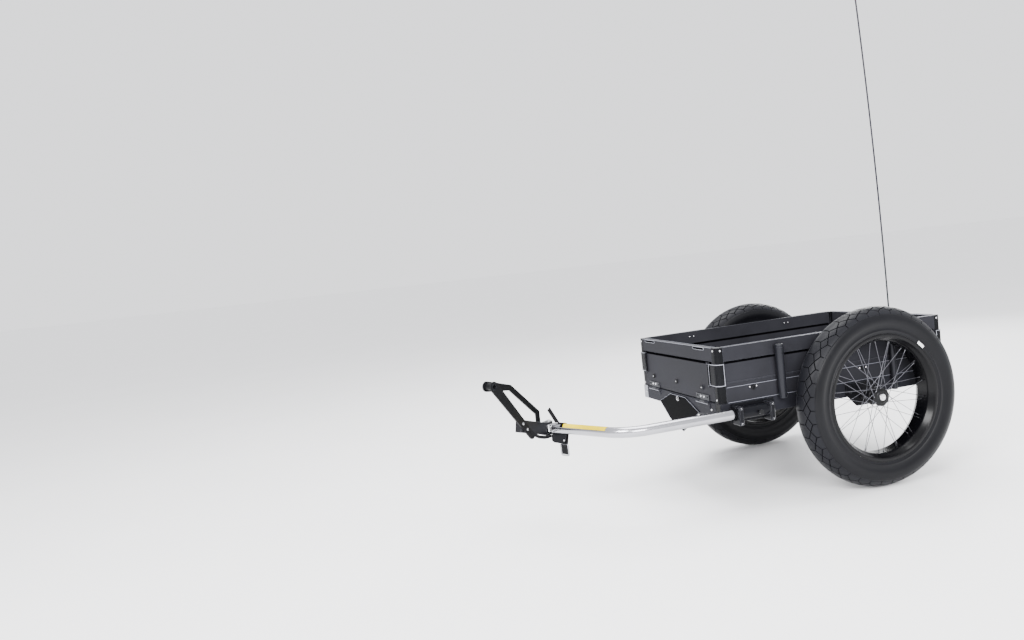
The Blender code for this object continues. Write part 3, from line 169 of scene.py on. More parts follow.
def brushed(name, colour, roughness, stretch=(1.0, 1.0, 1.0), scale=220.0):
    """Bare metal with fine marks drawn out along the axis whose stretch is small."""
    finish = Finish(name, colour, roughness, 1.0)
    drawn = finish.node("Mapping", {"Vector": finish.place, "Scale": stretch}, "Vector")
    lines = finish.noise(scale, 5.0, 0.6, drawn)
    slow = finish.spread(finish.noise(METAL_MOTTLE_SCALE), 0, 1)
    tone = finish.blend(slow, tint(colour, 0.86), colour)
    gloss = finish.spread(lines, roughness * 0.7, roughness * 1.5)
    finish.shade({"Base Color": tone, "Roughness": gloss})
    finish.bump(lines, 0.25, 0.00004)
    return finish.material


def woven(name, colour, thread=0.0016):
    """Flat webbing: ribs of crossing threads."""
    finish = Finish(name, colour, 0.85)
    ribs = {"Vector": finish.place, "Scale": WAVE_PERIOD / thread, "Distortion": 0.3}
    waves = [finish.node("TexWave", ribs, "Fac", bands_direction=way) for way in ("X", "Z")]
    cross = finish.product(*waves)
    tone = finish.blend(cross, colour, tint(colour, 1.9))
    finish.shade({"Base Color": tone, "Specular IOR Level": 0.1, "Sheen Weight": 0.04})
    finish.bump(cross, 0.8, 0.0003)
    return finish.material


SLATE = (0.0175, 0.0176, 0.0212)
# Edge colours: the lighter edges they give are partly wear and partly a painted highlight.
EDGE_WEAR_AND_GLINT = (0.13, 0.135, 0.16)
DULL_WEAR_AND_GLINT = (0.16, 0.16, 0.18)

PLANK = coated("plank_black", SLATE, 0.46, 0.05, EDGE_WEAR_AND_GLINT)
RAIL_COAT = coated("rail_coat", (0.014, 0.0143, 0.018), 0.42, 0.05, EDGE_WEAR_AND_GLINT)
PLATE_COAT = coated("plate_coat", (0.0045, 0.0047, 0.006), 0.40, 0.06, (0.10, 0.105, 0.12), 1400.0)
SKID_COAT = coated("skid_coat", (0.0015, 0.0016, 0.002), 0.34, 0.01, DULL_WEAR_AND_GLINT, 500.0)
POST_COAT = coated("post_coat", (0.003, 0.0032, 0.004), 0.26, 0.07, (0.22, 0.225, 0.26))
LATCH_COAT = coated(
    "latch_coat", (0.0035, 0.0037, 0.0048), 0.26, 0.08, (0.42, 0.43, 0.48), wear_and_glint_width=0.0012)
CAP_PLASTIC = coated("cap_plastic", (0.23, 0.235, 0.26), 0.5, grain=700.0, relief=0.0001)
FLOOR_PLASTIC = coated(
    "floor_plastic", (0.006, 0.0062, 0.0075), 0.7, 0.03, grain=420.0, relief=0.0003)
STAKE_GREY = coated(
    "stake_grey", (0.012, 0.0125, 0.016), 0.34, wear_and_glint=(0.1, 0.1, 0.12), grain=1600.0, metallic=0.3)
RECEIVER_GREY = coated(
    "receiver_grey", (0.004, 0.0042, 0.0056), 0.32, 0.08, (0.34, 0.34, 0.38), wear_and_glint_width=0.0012)
HINGE_STEEL = coated(
    "hinge_steel", (0.025, 0.026, 0.03), 0.36, wear_and_glint=(0.35, 0.35, 0.38), metallic=0.6)
RIM_GLOSS = coated("rim_gloss", (0.0016, 0.0016, 0.0022), 0.24, 0.16, DULL_WEAR_AND_GLINT, 60.0, 0.00001)
HUB_BLACK = coated("hub_black", (0.0025, 0.0026, 0.0032), 0.3, 0.16, (0.10, 0.10, 0.12))
RUBBER = coated("tyre_rubber", (0.0034, 0.0035, 0.0046), 0.36, 0.13, grain=1500.0, relief=0.00008)
TREAD_RUBBER = coated(
    "tread_rubber", (0.0062, 0.0064, 0.0082), 0.42, 0.12, (0.06, 0.06, 0.074), 1100.0, 0.0002)
HARD_RUBBER = coated("bumper_rubber", (0.006, 0.006, 0.007), 0.7, relief=0.0002)
HITCH_BLACK = coated("hitch_black", (0.0055, 0.0057, 0.0072), 0.36, 0.2, DULL_WEAR_AND_GLINT)
ARM_BLACK = coated("arm_black", (0.002, 0.0021, 0.0027), 0.4, 0.14, (0.06, 0.06, 0.07))
POLE_BLACK = coated("pole_black", (0.01, 0.01, 0.015), 0.35, grain=2000.0, relief=0.00002)
YELLOW_LABEL = coated("yellow_label", (0.60, 0.45, 0.0), 0.5, 0.02, grain=800.0, relief=0.00002)
WHITE_LABEL = coated("white_label", (0.85, 0.85, 0.85), 0.45, grain=800.0, relief=0.00002)
# Light grey for painted highlights: the rims of the latches and hand slots and the line under each
# front hinge.
RIM_GLINT = coated("rim_glint", (0.30, 0.305, 0.345), 0.36, metallic=0.4)
# Light grey for painted highlights along the wall edges, the end walls' tops and the skid plate.
EDGE_GLINT = coated("edge_glint", (0.20, 0.205, 0.24), 0.4)
# Black for painted shade: the strips under the upper boards and the films in the hand slots.
SHADOW_BLACK = coated("painted_shadow_black", (0.001, 0.001, 0.0013), 0.9, 0.0)
# Near-black for the film at the bottom of the tread grooves: painted shade in the recesses.
GROOVE_SHADE = coated("tread_groove_shade", (0.0015, 0.0015, 0.002), 0.9, 0.05)
THREAD = coated("strap_thread", (0.035, 0.035, 0.04), 0.7)
BAR_POLISH = brushed("bar_polish", (0.44, 0.44, 0.47), 0.20, (0.04, 1.0, 1.0), 500.0)
BRIGHT_STEEL = brushed("bright_steel", (0.72, 0.72, 0.74), 0.24)
SPOKE_STEEL = brushed("spoke_steel", (0.16, 0.16, 0.18), 0.3, scale=900.0)
NIPPLE_STEEL = brushed("nipple_steel", (0.12, 0.12, 0.13), 0.35)
RING_STEEL = brushed("ring_steel", (0.42, 0.42, 0.46), 0.3)
ZINC = brushed("zinc", (0.66, 0.66, 0.68), 0.32, scale=120.0)
WEBBING = woven("webbing", (0.0030, 0.0030, 0.0038))


# Shapes


def dress(piece, material, body, node=None, slot=None):
    """Puts the piece on its body with its finish, in place of a CAD node where one is named."""
    piece.data.materials.clear()
    piece.data.materials.append(material)
    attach(piece, body)
    if node:
        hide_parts(node)


def new_piece(name, mesh, matrix=None):
    piece = bpy.data.objects.new(name, mesh)
    bpy.context.scene.collection.objects.link(piece)
    if matrix is not None:
        piece.matrix_world = matrix
    return piece


def mesh_from(shape, name, smooth_angle):
    mesh = bpy.data.meshes.new(name)
    bmesh.ops.recalc_face_normals(shape, faces=shape.faces)
    shape.to_mesh(mesh)
    shape.free()
    mesh.shade_smooth()
    mesh.set_sharp_from_angle(angle=math.radians(smooth_angle))
    return mesh


def piece_from(shape, name, matrix=None, smooth_angle=35):
    return new_piece(name, mesh_from(shape, name, smooth_angle), matrix)


def round_edges(piece, width):
    if width:
        modifier = piece.modifiers.new("rounded_edges", "BEVEL")
        modifier.width = width
        modifier.segments = 2
        modifier.limit_method = "ANGLE"
        modifier.angle_limit = math.radians(40)
        modifier.harden_normals = True
    return piece


def revolve(shape, profile, steps, matrix, closed):
    """Adds a profile of (radius, height) turned about Z. A closed one is a ring."""
    rings = []
    for radius, height in profile:
        if radius < 1e-6:
            rings.append([shape.verts.new(matrix @ Vector((0, 0, height)))])
            continue
        angles = [math.tau * step / steps for step in range(steps)]
        points = [Vector((radius * math.cos(a), radius * math.sin(a), height)) for a in angles]
        rings.append([shape.verts.new(matrix @ point) for point in points])
    pairs = list(zip(rings, rings[1:]))
    if closed:
        pairs.append((rings[-1], rings[0]))
    for first, second in pairs:
        for step in range(steps):
            after = (step + 1) % steps
            corners = (
                first[step % len(first)], first[after % len(first)],
                second[after % len(second)], second[step % len(second)],
            )
            unique = list(dict.fromkeys(corners))
            if len(unique) > 2:
                shape.faces.new(unique)


def lathe(name, profile, matrix, steps, closed=False, smooth_angle=35):
    shape = bmesh.new()
    revolve(shape, profile, steps, Matrix.Identity(4), closed)
    return piece_from(shape, name, matrix, smooth_angle)


def facing(place, direction):
    """A matrix at place whose local Z is along direction."""
    turn = Vector(direction).to_track_quat("Z", "Y").to_matrix().to_4x4()
    return Matrix.Translation(Vector(place)) @ turn


def arc_points(centre, radius, start, end, steps):
    """Points on an arc in a plane, angles in degrees."""
    angles = [math.radians(start + (end - start) * step / steps) for step in range(steps + 1)]
    return [(centre[0] + radius * math.cos(a), centre[1] + radius * math.sin(a)) for a in angles]


def prism(name, outline, thickness, matrix, edge=0.0, smooth_angle=35):
    """A flat outline in local XY with half its thickness each way, and rounded edges."""
    shape = bmesh.new()
    face = shape.faces.new([shape.verts.new((x, y, -thickness / 2)) for x, y in outline])
    grown = bmesh.ops.extrude_face_region(shape, geom=[face])["geom"]
    upper = [item for item in grown if isinstance(item, bmesh.types.BMVert)]
    bmesh.ops.translate(shape, verts=upper, vec=(0, 0, thickness))
    return round_edges(piece_from(shape, name, matrix, smooth_angle), edge)


def block(name, first, second, edge=0.0):
    """A box between two opposite corners, with its origin at its centre."""
    low, high = [Vector([pick(pair) for pair in zip(first, second)]) for pick in (min, max)]
    shape = bmesh.new()
    bmesh.ops.create_cube(shape, size=1.0, matrix=Matrix.Diagonal((*(high - low), 1.0)))
    return round_edges(piece_from(shape, name, Matrix.Translation((low + high) / 2)), edge)


def pipe(name, points, radius, resolution=3, cyclic=False):
    """A smooth round tube through points, as a mesh, with flat ends where it isn't a loop."""
    curve = bpy.data.curves.new(name, "CURVE")
    curve.dimensions = "3D"
    curve.bevel_depth = radius
    curve.bevel_resolution = resolution
    curve.use_fill_caps = not cyclic
    spline = curve.splines.new("POLY")
    spline.points.add(len(points) - 1)
    for point, place in zip(spline.points, points):
        point.co = (*place, 1)
    spline.use_cyclic_u = cyclic
    spline.use_smooth = True
    holder = new_piece(name + "_line", curve)
    bpy.context.view_layer.update()
    graph = bpy.context.evaluated_depsgraph_get()
    mesh = bpy.data.meshes.new_from_object(holder.evaluated_get(graph))
    mesh.name = name
    bpy.data.objects.remove(holder, do_unlink=True)
    mesh.shade_smooth()
    mesh.set_sharp_from_angle(angle=math.radians(40))
    return new_piece(name, mesh)


def film(name, rows, material, body):
    """A thin sheet through rows of points."""
    shape = bmesh.new()
    rows = [[shape.verts.new(point) for point in row] for row in rows]
    for first, second in zip(rows, rows[1:]):
        for step in range(len(first) - 1):
            shape.faces.new((first[step], first[step + 1], second[step + 1], second[step]))
    dress(piece_from(shape, name), material, body)


def add_bar(shape, start, end, radius, sides):
    """A round bar from start to end."""
    start, end = Vector(start), Vector(end)
    bmesh.ops.create_cone(
        shape, cap_ends=True, segments=sides, radius1=radius, radius2=radius,
        depth=(end - start).length, matrix=facing((start + end) / 2, end - start),
    )


# Screws: the head's outline in shares of its radius and height, and each kind's finish and sizes

HEAD_OUTLINE = ((0.45, 0.97), (0.75, 0.82), (0.93, 0.65), (1, 0.3), (1, -0.5), (0, -0.5))
SOCKET_RADIUS = 0.42
SOCKET_DEPTH = 0.45
WASHER_RADIUS = 1.45
HEAD_STEPS = 24
SCREWS = {
    "eye_bolts": (BRIGHT_STEEL, 0.0028, 0.0024, 0),
    "eye_nuts": (ZINC, 0.0040, 0.0022, 0.0008),
    "upper_bolts": (ZINC, 0.0026, 0.0016, 0),
    "post_screws": (BRIGHT_STEEL, 0.0033, 0.0021, 0),
    "rail_screw": (BRIGHT_STEEL, 0.0034, 0.0022, 0),
    "leaf_screws": (BRIGHT_STEEL, 0.0042, 0.0022, 0),
    "leaf_end_screws": (PLATE_COAT, 0.0030, 0.0014, 0),
    "bumper_screw": (ZINC, 0.0026, 0.0011, 0),
    "rivets": (PLATE_COAT, 0.0026, 0.0008, 0),
    "skid_bolt": (BRIGHT_STEEL, 0.0062, 0.0034, 0.0012),
    "axle_plate_bolts": (PLATE_COAT, 0.0042, 0.0030, 0.0009),
    "clamp_bolts": (BRIGHT_STEEL, 0.0042, 0.0030, 0),
    "pin_tip": (BRIGHT_STEEL, 0.0026, 0.0016, 0),
    "plate_screws": (ZINC, 0.0032, 0.0020, 0),
    "arm_bolts": (BRIGHT_STEEL, 0.0050, 0.0036, 0),
}


def add_screw(shape, place, direction, radius, height, washer):
    """A button-head screw with a socket, and a washer under it where that has a thickness."""
    matrix = facing(place, direction)
    if washer:
        rim = radius * WASHER_RADIUS
        ring = [(0, washer), (rim * 0.95, washer), (rim, washer * 0.7), (rim, 0), (0, 0)]
        revolve(shape, ring, HEAD_STEPS, matrix, False)
    socket, floor = radius * SOCKET_RADIUS, height - height * SOCKET_DEPTH
    profile = [(0, floor), (socket, floor), (socket, height)]
    profile += [(radius * x, height * z) for x, z in HEAD_OUTLINE]
    revolve(shape, profile, HEAD_STEPS, matrix @ Matrix.Translation((0, 0, washer)), False)


def screws(name, kind, spots, body, direction=None):
    """Screws as one piece. Without a common direction, each spot is a place and a direction."""
    shape = bmesh.new()
    material, *sizes = SCREWS[kind]
    for spot in spots:
        place, way = (spot, direction) if direction else spot
        add_screw(shape, place, way, *sizes)
    dress(piece_from(shape, name, smooth_angle=30), material, body)


# Thin lines along edges, mostly light ones as a painted highlight

EDGE_LINE_RADIUS = 0.0007


def edge_line(name, points, material, body, radius=EDGE_LINE_RADIUS):
    dress(pipe(name, points, radius), material, body)


def loop(name, points, material, body, radius):
    dress(pipe(name, points, radius, cyclic=True), material, body)


# Wheels

TREAD_PITCHES = 40
TREAD_DEPTH = 0.0036
GROOVE_WIDTH = 0.0040
GROOVE_FILM = 0.0002
DIAMOND_TIP = 0.038
DIAMOND_FOOT = 0.014
SHOULDER_EDGE = 0.053
BLOCK_LIP = 0.0005
CELL_STEPS = 10
CROWN_STEPS = 12
WALL_STEPS = 14
WALL_END = math.radians(112)
WHEEL_STEPS = 192
RIM_SEAT_DEPTH = 0.0095
RIM_WELL_DEPTH = 0.013
RIM_WALL = 0.0025
SPOKE_COUNT = 36
SPOKE_RADIUS = 0.0009
SPOKE_TURN = math.radians(62)
SPOKE_PAIR_SPREAD = math.radians(1.6)
SPOKE_ROOT = 0.029
SPOKE_SIDESTEP = 0.0019
NIPPLE_LENGTH = 0.009
NIPPLE_RADIUS = 0.0016
NIPPLE_OFFSET = 0.004
HUB_BARREL = 0.0155
HUB_FLANGE = 0.031
HUB_END_RADIUS = 0.0200
HUB_BORE = 0.0068
FLANGE_OFFSET = 0.019
BUTTON_GAP = 0.0006
BUTTON_WELL = 0.0127
LABEL_ANGLE = math.radians(46)
LABEL_LENGTH = 0.028
LABEL_STEPS = 8

TYRE_RADIUS = node_size("left_tyre").z / 2
RIM_RADIUS = node_size("left_rim").z / 2
RIM_LIP = node_size("left_rim").x / 2
BARREL_RADIUS = RIM_RADIUS - RIM_SEAT_DEPTH - RIM_WELL_DEPTH - RIM_WALL
AXLE_Y = node_centre("left_tyre").y
SECTION_MIDDLE = (TYRE_RADIUS + RIM_RADIUS) / 2
SECTION_DEPTH = TYRE_RADIUS - SECTION_MIDDLE
SECTION_HALF = node_size("left_tyre").x / 2
SECTION_RADIUS = (SECTION_DEPTH + SECTION_HALF) / 2


def section_point(across, lift=0.0):
    """(radius, offset) on the tyre's section, a length across from the crown and lifted off it."""
    angle = across / SECTION_RADIUS
    radius = SECTION_MIDDLE + SECTION_DEPTH * math.cos(angle)
    offset = SECTION_HALF * math.sin(angle)
    out = Vector((math.cos(angle) / SECTION_DEPTH, math.sin(angle) / SECTION_HALF)).normalized()
    return radius + out.x * lift, offset + out.y * lift


def outward(run, away):
    """The unit normal of a flat edge's run, on the side that away points to."""
    along = run.normalized()
    out = Vector((along.y, -along.x, 0))
    return -out if out.dot(away) < 0 else out


def clip_cell(corners, pitch):
    """A gridded flat cell with convex corners, as a new bmesh."""
    (left, foot), (right, top) = [[pick(row) for row in zip(*corners)] for pick in (min, max)]
    step = pitch / CELL_STEPS
    across, up = [max(2, round(span / step)) for span in (right - left, top - foot)]
    cell = bmesh.new()
    grid = [[
        cell.verts.new((left + (right - left) * i / across, foot + (top - foot) * j / up, 0))
        for j in range(up + 1)] for i in range(across + 1)]
    for i in range(across):
        for j in range(up):
            cell.faces.new((grid[i][j], grid[i + 1][j], grid[i + 1][j + 1], grid[i][j + 1]))
    middle = Vector((sum(c[0] for c in corners), sum(c[1] for c in corners), 0)) / len(corners)
    for first, second in zip(corners, corners[1:] + corners[:1]):
        start = Vector((*first, 0))
        out = outward(Vector((second[0] - first[0], second[1] - first[1], 0)), start - middle)
        bmesh.ops.bisect_plane(
            cell, geom=cell.verts[:] + cell.edges[:] + cell.faces[:], dist=1e-7,
            plane_co=start - out * GROOVE_WIDTH / 2, plane_no=out, clear_outer=True,
        )
    return cell


def tread_cells(pitch):
    """One pitch's cells: a centre hexagon, then a diamond and a shoulder block each side."""
    half, waist = pitch / 2, (DIAMOND_TIP + DIAMOND_FOOT) / 2
    cells = [[
        (0, -DIAMOND_FOOT), (half, -waist), (pitch, -DIAMOND_FOOT),
        (pitch, DIAMOND_FOOT), (half, waist), (0, DIAMOND_FOOT),
    ]]
    for side in (-1, 1):
        foot, belt, tip = side * DIAMOND_FOOT, side * waist, side * DIAMOND_TIP
        edge = side * SHOULDER_EDGE
        cells.append([(0, foot), (half, belt), (0, tip), (-half, belt)])
        cells.append([(0, tip), (half, belt), (pitch, tip), (pitch, edge), (0, edge)])
    return cells


def drop_edges(cell, edges, down, outwards):
    """Extrudes a flat cell's boundary down and outwards, and returns the new boundary."""
    ways = {}
    for edge in edges:
        start, end = [vert.co for vert in edge.verts]
        out = outward(end - start, start - edge.link_faces[0].calc_center_median())
        for vert in edge.verts:
            ways.setdefault(tuple(vert.co), []).append(out)
    made = bmesh.ops.extrude_edge_only(cell, edges=edges)["geom"]
    for vert in [item for item in made if isinstance(item, bmesh.types.BMVert)]:
        outs = ways[tuple(vert.co)]
        way = sum(outs, Vector()) / len(outs)
        vert.co += way / max(way.length_squared, 0.3) * outwards
        vert.co.z -= down
    return [item for item in made if isinstance(item, bmesh.types.BMEdge)]


def tread_mesh():
    """The raised blocks: one pitch of flat cells, wrapped round the tyre as often as it repeats."""
    pitch = math.tau * TYRE_RADIUS / TREAD_PITCHES
    points, faces = [], []
    for corners in tread_cells(pitch):
        cell = clip_cell(corners, pitch)
        rim = [edge for edge in cell.edges if edge.is_boundary]
        slope = drop_edges(cell, rim, BLOCK_LIP, BLOCK_LIP)
        drop_edges(cell, slope, TREAD_DEPTH, 0)
        cell.verts.index_update()
        start = len(points)
        points += [vert.co.copy() for vert in cell.verts]
        faces += [[vert.index + start for vert in face.verts] for face in cell.faces]
        cell.free()
    places, turned = [], []
    for number in range(TREAD_PITCHES):
        shift = len(places)
        for u, v, lift in points:
            radius, offset = section_point(v, lift)
            angle = math.tau * (number + u / pitch) / TREAD_PITCHES
            places.append((radius * math.cos(angle), radius * math.sin(angle), offset))
        turned += [[index + shift for index in face] for face in faces]
    wrapped = bpy.data.meshes.new("wrapped_tread")
    wrapped.from_pydata(places, [], turned)
    shape = bmesh.new()
    shape.from_mesh(wrapped)
    bpy.data.meshes.remove(wrapped)
    return mesh_from(shape, "tread", 28)


def carcass_profile():
    """The tyre under its blocks: sunk at the crown, then the sidewalls down to the beads."""
    crown, low = SHOULDER_EDGE - GROOVE_WIDTH, WALL_END * SECTION_RADIUS
    half = [
        section_point(crown * step / CROWN_STEPS, -TREAD_DEPTH) for step in range(CROWN_STEPS + 1)]
    half += [
        section_point(SHOULDER_EDGE + (low - SHOULDER_EDGE) * step / WALL_STEPS)
        for step in range(WALL_STEPS + 1)]
    half += [(RIM_RADIUS + rise, RIM_LIP + out) for rise, out in (
        (0.0200, 0.0010), (0.0125, 0.0003), (0.0115, 0.0012), (0.0098, 0.0012),
        (0.0088, 0.0001), (0.0030, -0.0001), (0.0004, -0.0008),
    )]
    return half[:0:-1] + [(radius, -offset) for radius, offset in half]


def rim_profile():
    """A deep box rim: rolled lips, bead seats, a well, and a smooth barrel towards the hub."""
    lip, top, barrel = RIM_LIP, RIM_RADIUS, BARREL_RADIUS
    seat = top - RIM_SEAT_DEPTH
    well = seat - RIM_WELL_DEPTH
    right = [
        (well, 0.0), (well, 0.0225), (well + 0.003, 0.0262), (seat - 0.002, 0.0290),
        (seat, 0.0305), (seat, lip - 0.0030), (top - 0.0016, lip - 0.0026),
        (top - 0.0004, lip - 0.0020), (top, lip - 0.0011), (top - 0.0004, lip - 0.0003),
        (top - 0.0014, lip), (seat - 0.0010, lip), (seat - 0.0022, lip - 0.0006),
        (seat - 0.0034, lip - 0.0030), (barrel + 0.0060, 0.0300), (barrel + 0.0022, 0.0250),
        (barrel + 0.0004, 0.0215), (barrel, 0.0170), (barrel, 0.0),
    ]
    return right + [(radius, -offset) for radius, offset in right[-2:0:-1]]


def hub_profile(inner, outer, bore):
    """The shell from its outer face over both flanges to its inner face, and back in the bore."""
    barrel, flange, end, offset = HUB_BARREL, HUB_FLANGE, HUB_END_RADIUS, FLANGE_OFFSET
    return [
        (bore, outer - 0.0002), (end - 0.0012, outer), (end, outer - 0.0012),
        (end, offset + 0.0036), (end + 0.002, offset + 0.0022), (flange - 0.001, offset + 0.0020),
        (flange, offset + 0.0010), (flange, offset - 0.0010), (flange - 0.001, offset - 0.0020),
        (barrel + 0.003, offset - 0.0024), (barrel, offset - 0.0050), (barrel - 0.001, 0.0),
        (barrel, 0.0050 - offset), (barrel + 0.003, 0.0024 - offset),
        (flange - 0.001, 0.0020 - offset), (flange, 0.0010 - offset), (flange, -0.0010 - offset),
        (flange - 0.001, -0.0020 - offset), (barrel + 0.002, -0.0022 - offset),
        (barrel, -0.0036 - offset), (barrel, inner + 0.001), (barrel - 0.001, inner),
        (HUB_BORE, inner), (HUB_BORE, outer - BUTTON_WELL), (bore, outer - BUTTON_WELL),
    ]


def build_spokes(side, place, body):
    """Crossed spokes with their heads, and their nipples at the rim."""
    length, width, wire = NIPPLE_LENGTH, NIPPLE_RADIUS, SPOKE_RADIUS
    nipple = [
        (0, length), (wire * 1.25, length), (width * 0.82, length * 0.86),
        (width, length * 0.25), (width * 1.3, length * 0.12), (width * 1.3, 0.0002), (0, 0.0002),
    ]
    spokes, nipples = bmesh.new(), bmesh.new()
    for number in range(SPOKE_COUNT):
        pair, mate = divmod(number, 2)
        way = -1 if mate else 1
        near = -way if pair % 2 else way
        angle = math.tau * 2 * pair / SPOKE_COUNT + way * SPOKE_PAIR_SPREAD
        foot, head = [
            Vector((radius * math.cos(turn), radius * math.sin(turn), height))
            for radius, turn, height in (
                (SPOKE_ROOT, angle + way * SPOKE_TURN, near * FLANGE_OFFSET + way * SPOKE_SIDESTEP),
                (BARREL_RADIUS, angle, near * NIPPLE_OFFSET),
            )]
        along = (head - foot).normalized()
        add_bar(spokes, foot, head - along * length * 0.5, wire, 8)
        add_bar(spokes, foot - along * 0.001, foot + along * 0.0015, wire * 1.9, 10)
        revolve(nipples, nipple, 10, facing(head, -along), False)
    dress(piece_from(spokes, side + "_spokes", place), SPOKE_STEEL, body)
    dress(piece_from(nipples, side + "_nipples", place, 30), NIPPLE_STEEL, body)


def build_wheel(side, sign, tread):
    """The tyre with its tread, the rim, the hub with its spokes, and the button in its end."""
    body, node = side + "_wheel", side + "_axle_button"
    centre = Vector((sign * abs(node_centre(side + "_tyre").x), AXLE_Y, TYRE_RADIUS))
    place = Matrix.Translation(centre) @ Matrix.Rotation(sign * math.pi / 2, 4, "Y")

    def hoop(name, profile, *finish):
        dress(lathe(f"{side}_{name}", profile, place, WHEEL_STEPS, True, 50), *finish)

    hoop("tyre_carcass", carcass_profile(), RUBBER, body, side + "_tyre", "tyre_rubber")
    # A near-black film just over the groove floor across the crown: painted shade in the grooves.
    reach = SHOULDER_EDGE - GROOVE_WIDTH
    marks = [reach * step / CROWN_STEPS for step in range(-CROWN_STEPS, CROWN_STEPS + 1)]
    band = [section_point(mark, GROOVE_FILM - TREAD_DEPTH) for mark in marks]
    band += [section_point(mark, -2 * GROOVE_FILM - TREAD_DEPTH) for mark in reversed(marks)]
    hoop("tyre_groove_shade", band, GROOVE_SHADE, body)
    blocks = new_piece(side + "_tyre_tread", tread.copy(), place)
    dress(blocks, TREAD_RUBBER, body, slot="tyre_rubber")
    hoop("rim_hoop", rim_profile(), RIM_GLOSS, body, side + "_rim", "rim_black")

    hub = side + "_spoked_hub"
    inner, outer = sorted(abs(corner.x) - abs(centre.x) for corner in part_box(hub))
    radius = node_size(node).z / 2
    shell = hub_profile(inner, outer, radius + BUTTON_GAP)
    dress(lathe(side + "_hub_shell", shell, place, 64, True), HUB_BLACK, body, hub, "hub_black")
    build_spokes(side, place, body)

    foot, face = sorted(abs(corner.x) - abs(centre.x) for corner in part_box(node))
    cap = [
        (0, face - 0.0014), (radius * 0.28, face - 0.0014), (radius * 0.34, face - 0.0004),
        (radius * 0.80, face), (radius * 0.93, face - 0.0004), (radius, face - 0.0016),
        (radius, foot), (0, foot),
    ]
    button = lathe(side + "_button_cap", cap, place, 64)
    dress(button, BRIGHT_STEEL, node, node, "silver_steel")


def build_tyre_label():
    """A blank white patch on the near sidewall, by the rim."""
    centre = Vector((node_centre("left_tyre").x, AXLE_Y, TYRE_RADIUS))
    rows = []
    for radius in (RIM_RADIUS + 0.0012, RIM_RADIUS + 0.0110):
        shares = [step / LABEL_STEPS - 0.5 for step in range(LABEL_STEPS + 1)]
        angles = [LABEL_ANGLE + share * LABEL_LENGTH / RIM_RADIUS for share in shares]
        rows.append([
            centre + Vector((RIM_LIP + 0.0016, radius * math.cos(a), radius * math.sin(a)))
            for a in angles])
    film("tyre_label", rows, WHITE_LABEL, "left_wheel")


# Cargo box

BASE = "box_and_base"
SIDES = (("left", 1), ("right", -1))
ENDS = (("front", -1), ("rear", 1))
WALL_LOW, WALL_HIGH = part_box("left_side_wall")
HALF_BOX = WALL_HIGH.x
WALL_TOP = WALL_HIGH.z
WALL_THICKNESS = WALL_HIGH.x - WALL_LOW.x
INSIDE_X = HALF_BOX - WALL_THICKNESS
BOX_FRONT_Y = face_of("left_front_corner_post", 1, -1)
BOX_REAR_Y = face_of("left_rear_corner_post", 1, 1)
POST_REACH = 0.030
EYE_SHARES = (0.141, 0.621)
EYE_UP = 0.391
EYE_BOLT_APART = 0.026
EYE_RING_STEPS = 28
INSIDE_BOLT_SHARES = (0.245, 0.735)
INSIDE_BOLTS_APART = 0.018
INSIDE_BOLTS_DOWN = 0.0205
BAND_INSET = 0.0025
# Black strips under the upper boards: painted shadow below the board's edge.
SHADOW_STRIP_TOP = WALL_TOP - 0.047
SHADOW_STRIP_DEPTH = 0.0085
SHADOW_STRIP_PROUD = 0.0003
SHADOW_STRIP_SUNK = 0.0006
EDGE_LINE_INSET = 0.0008
TOP_EDGE_LINE_Z = WALL_TOP - 0.0004
FOOT_LINE_UP = 0.0012
BAND_LINE_UP = 0.0512
LATCH_PROUD = 0.0035
LATCH_LEG = 0.0495
LATCH_TURN = 0.0155
LATCH_CENTRE_IN = 0.012
LATCH_RIM_IN = 0.0010
LIP_HALF_HEIGHT = 0.028
HAND_SLOTS = (("far", -0.190, 0.040), ("near", 0.173, 0.036))
SLOT_HALF_HEIGHT = 0.0042
SLOT_DOWN = 0.0065
LEAF_SCREWS = (("screws", 0.010), ("end_screws", 0.032))
BUMPER_UP = 0.394
BUMPER_HEIGHT = 0.0046


def box_share(share):
    """The Y of a share of the box's length from its front."""
    return BOX_FRONT_Y + share * (BOX_REAR_Y - BOX_FRONT_Y)


def build_lashing_eye(side, sign, y):
    """Two bolts through the side wall with a folding eye between them, and their nuts inside."""
    face = sign * HALF_BOX
    tag = f"{side}_eye_{round((y - BOX_FRONT_Y) * 1000)}"
    pair = [y + step * EYE_BOLT_APART / 2 for step in (-1, 1)]
    screws(tag + "_bolts", "eye_bolts", [(face, spot, EYE_UP) for spot in pair], BASE, (sign, 0, 0))
    low = (face - 0.0004, y - 0.0065, EYE_UP - 0.0085)
    high = (face + 0.0016, y + 0.0065, EYE_UP + 0.0060)
    dress(block(tag + "_plate", low, high, 0.0006), PLATE_COAT, BASE)
    ring = []
    for step in range(EYE_RING_STEPS):
        angle = math.tau * step / EYE_RING_STEPS
        rise = math.sin(angle)
        ring.append((face + sign * (0.0026 + 0.0008 * rise), y + 0.0062 * math.cos(angle),
                     EYE_UP - 0.0040 + 0.0070 * rise))
    loop(tag + "_ring", ring, HARD_RUBBER, BASE, 0.0012)
    spots = [(face - sign * WALL_THICKNESS, spot, EYE_UP) for spot in pair]
    screws(tag + "_nuts", "eye_nuts", spots, BASE, (-sign, 0, 0))


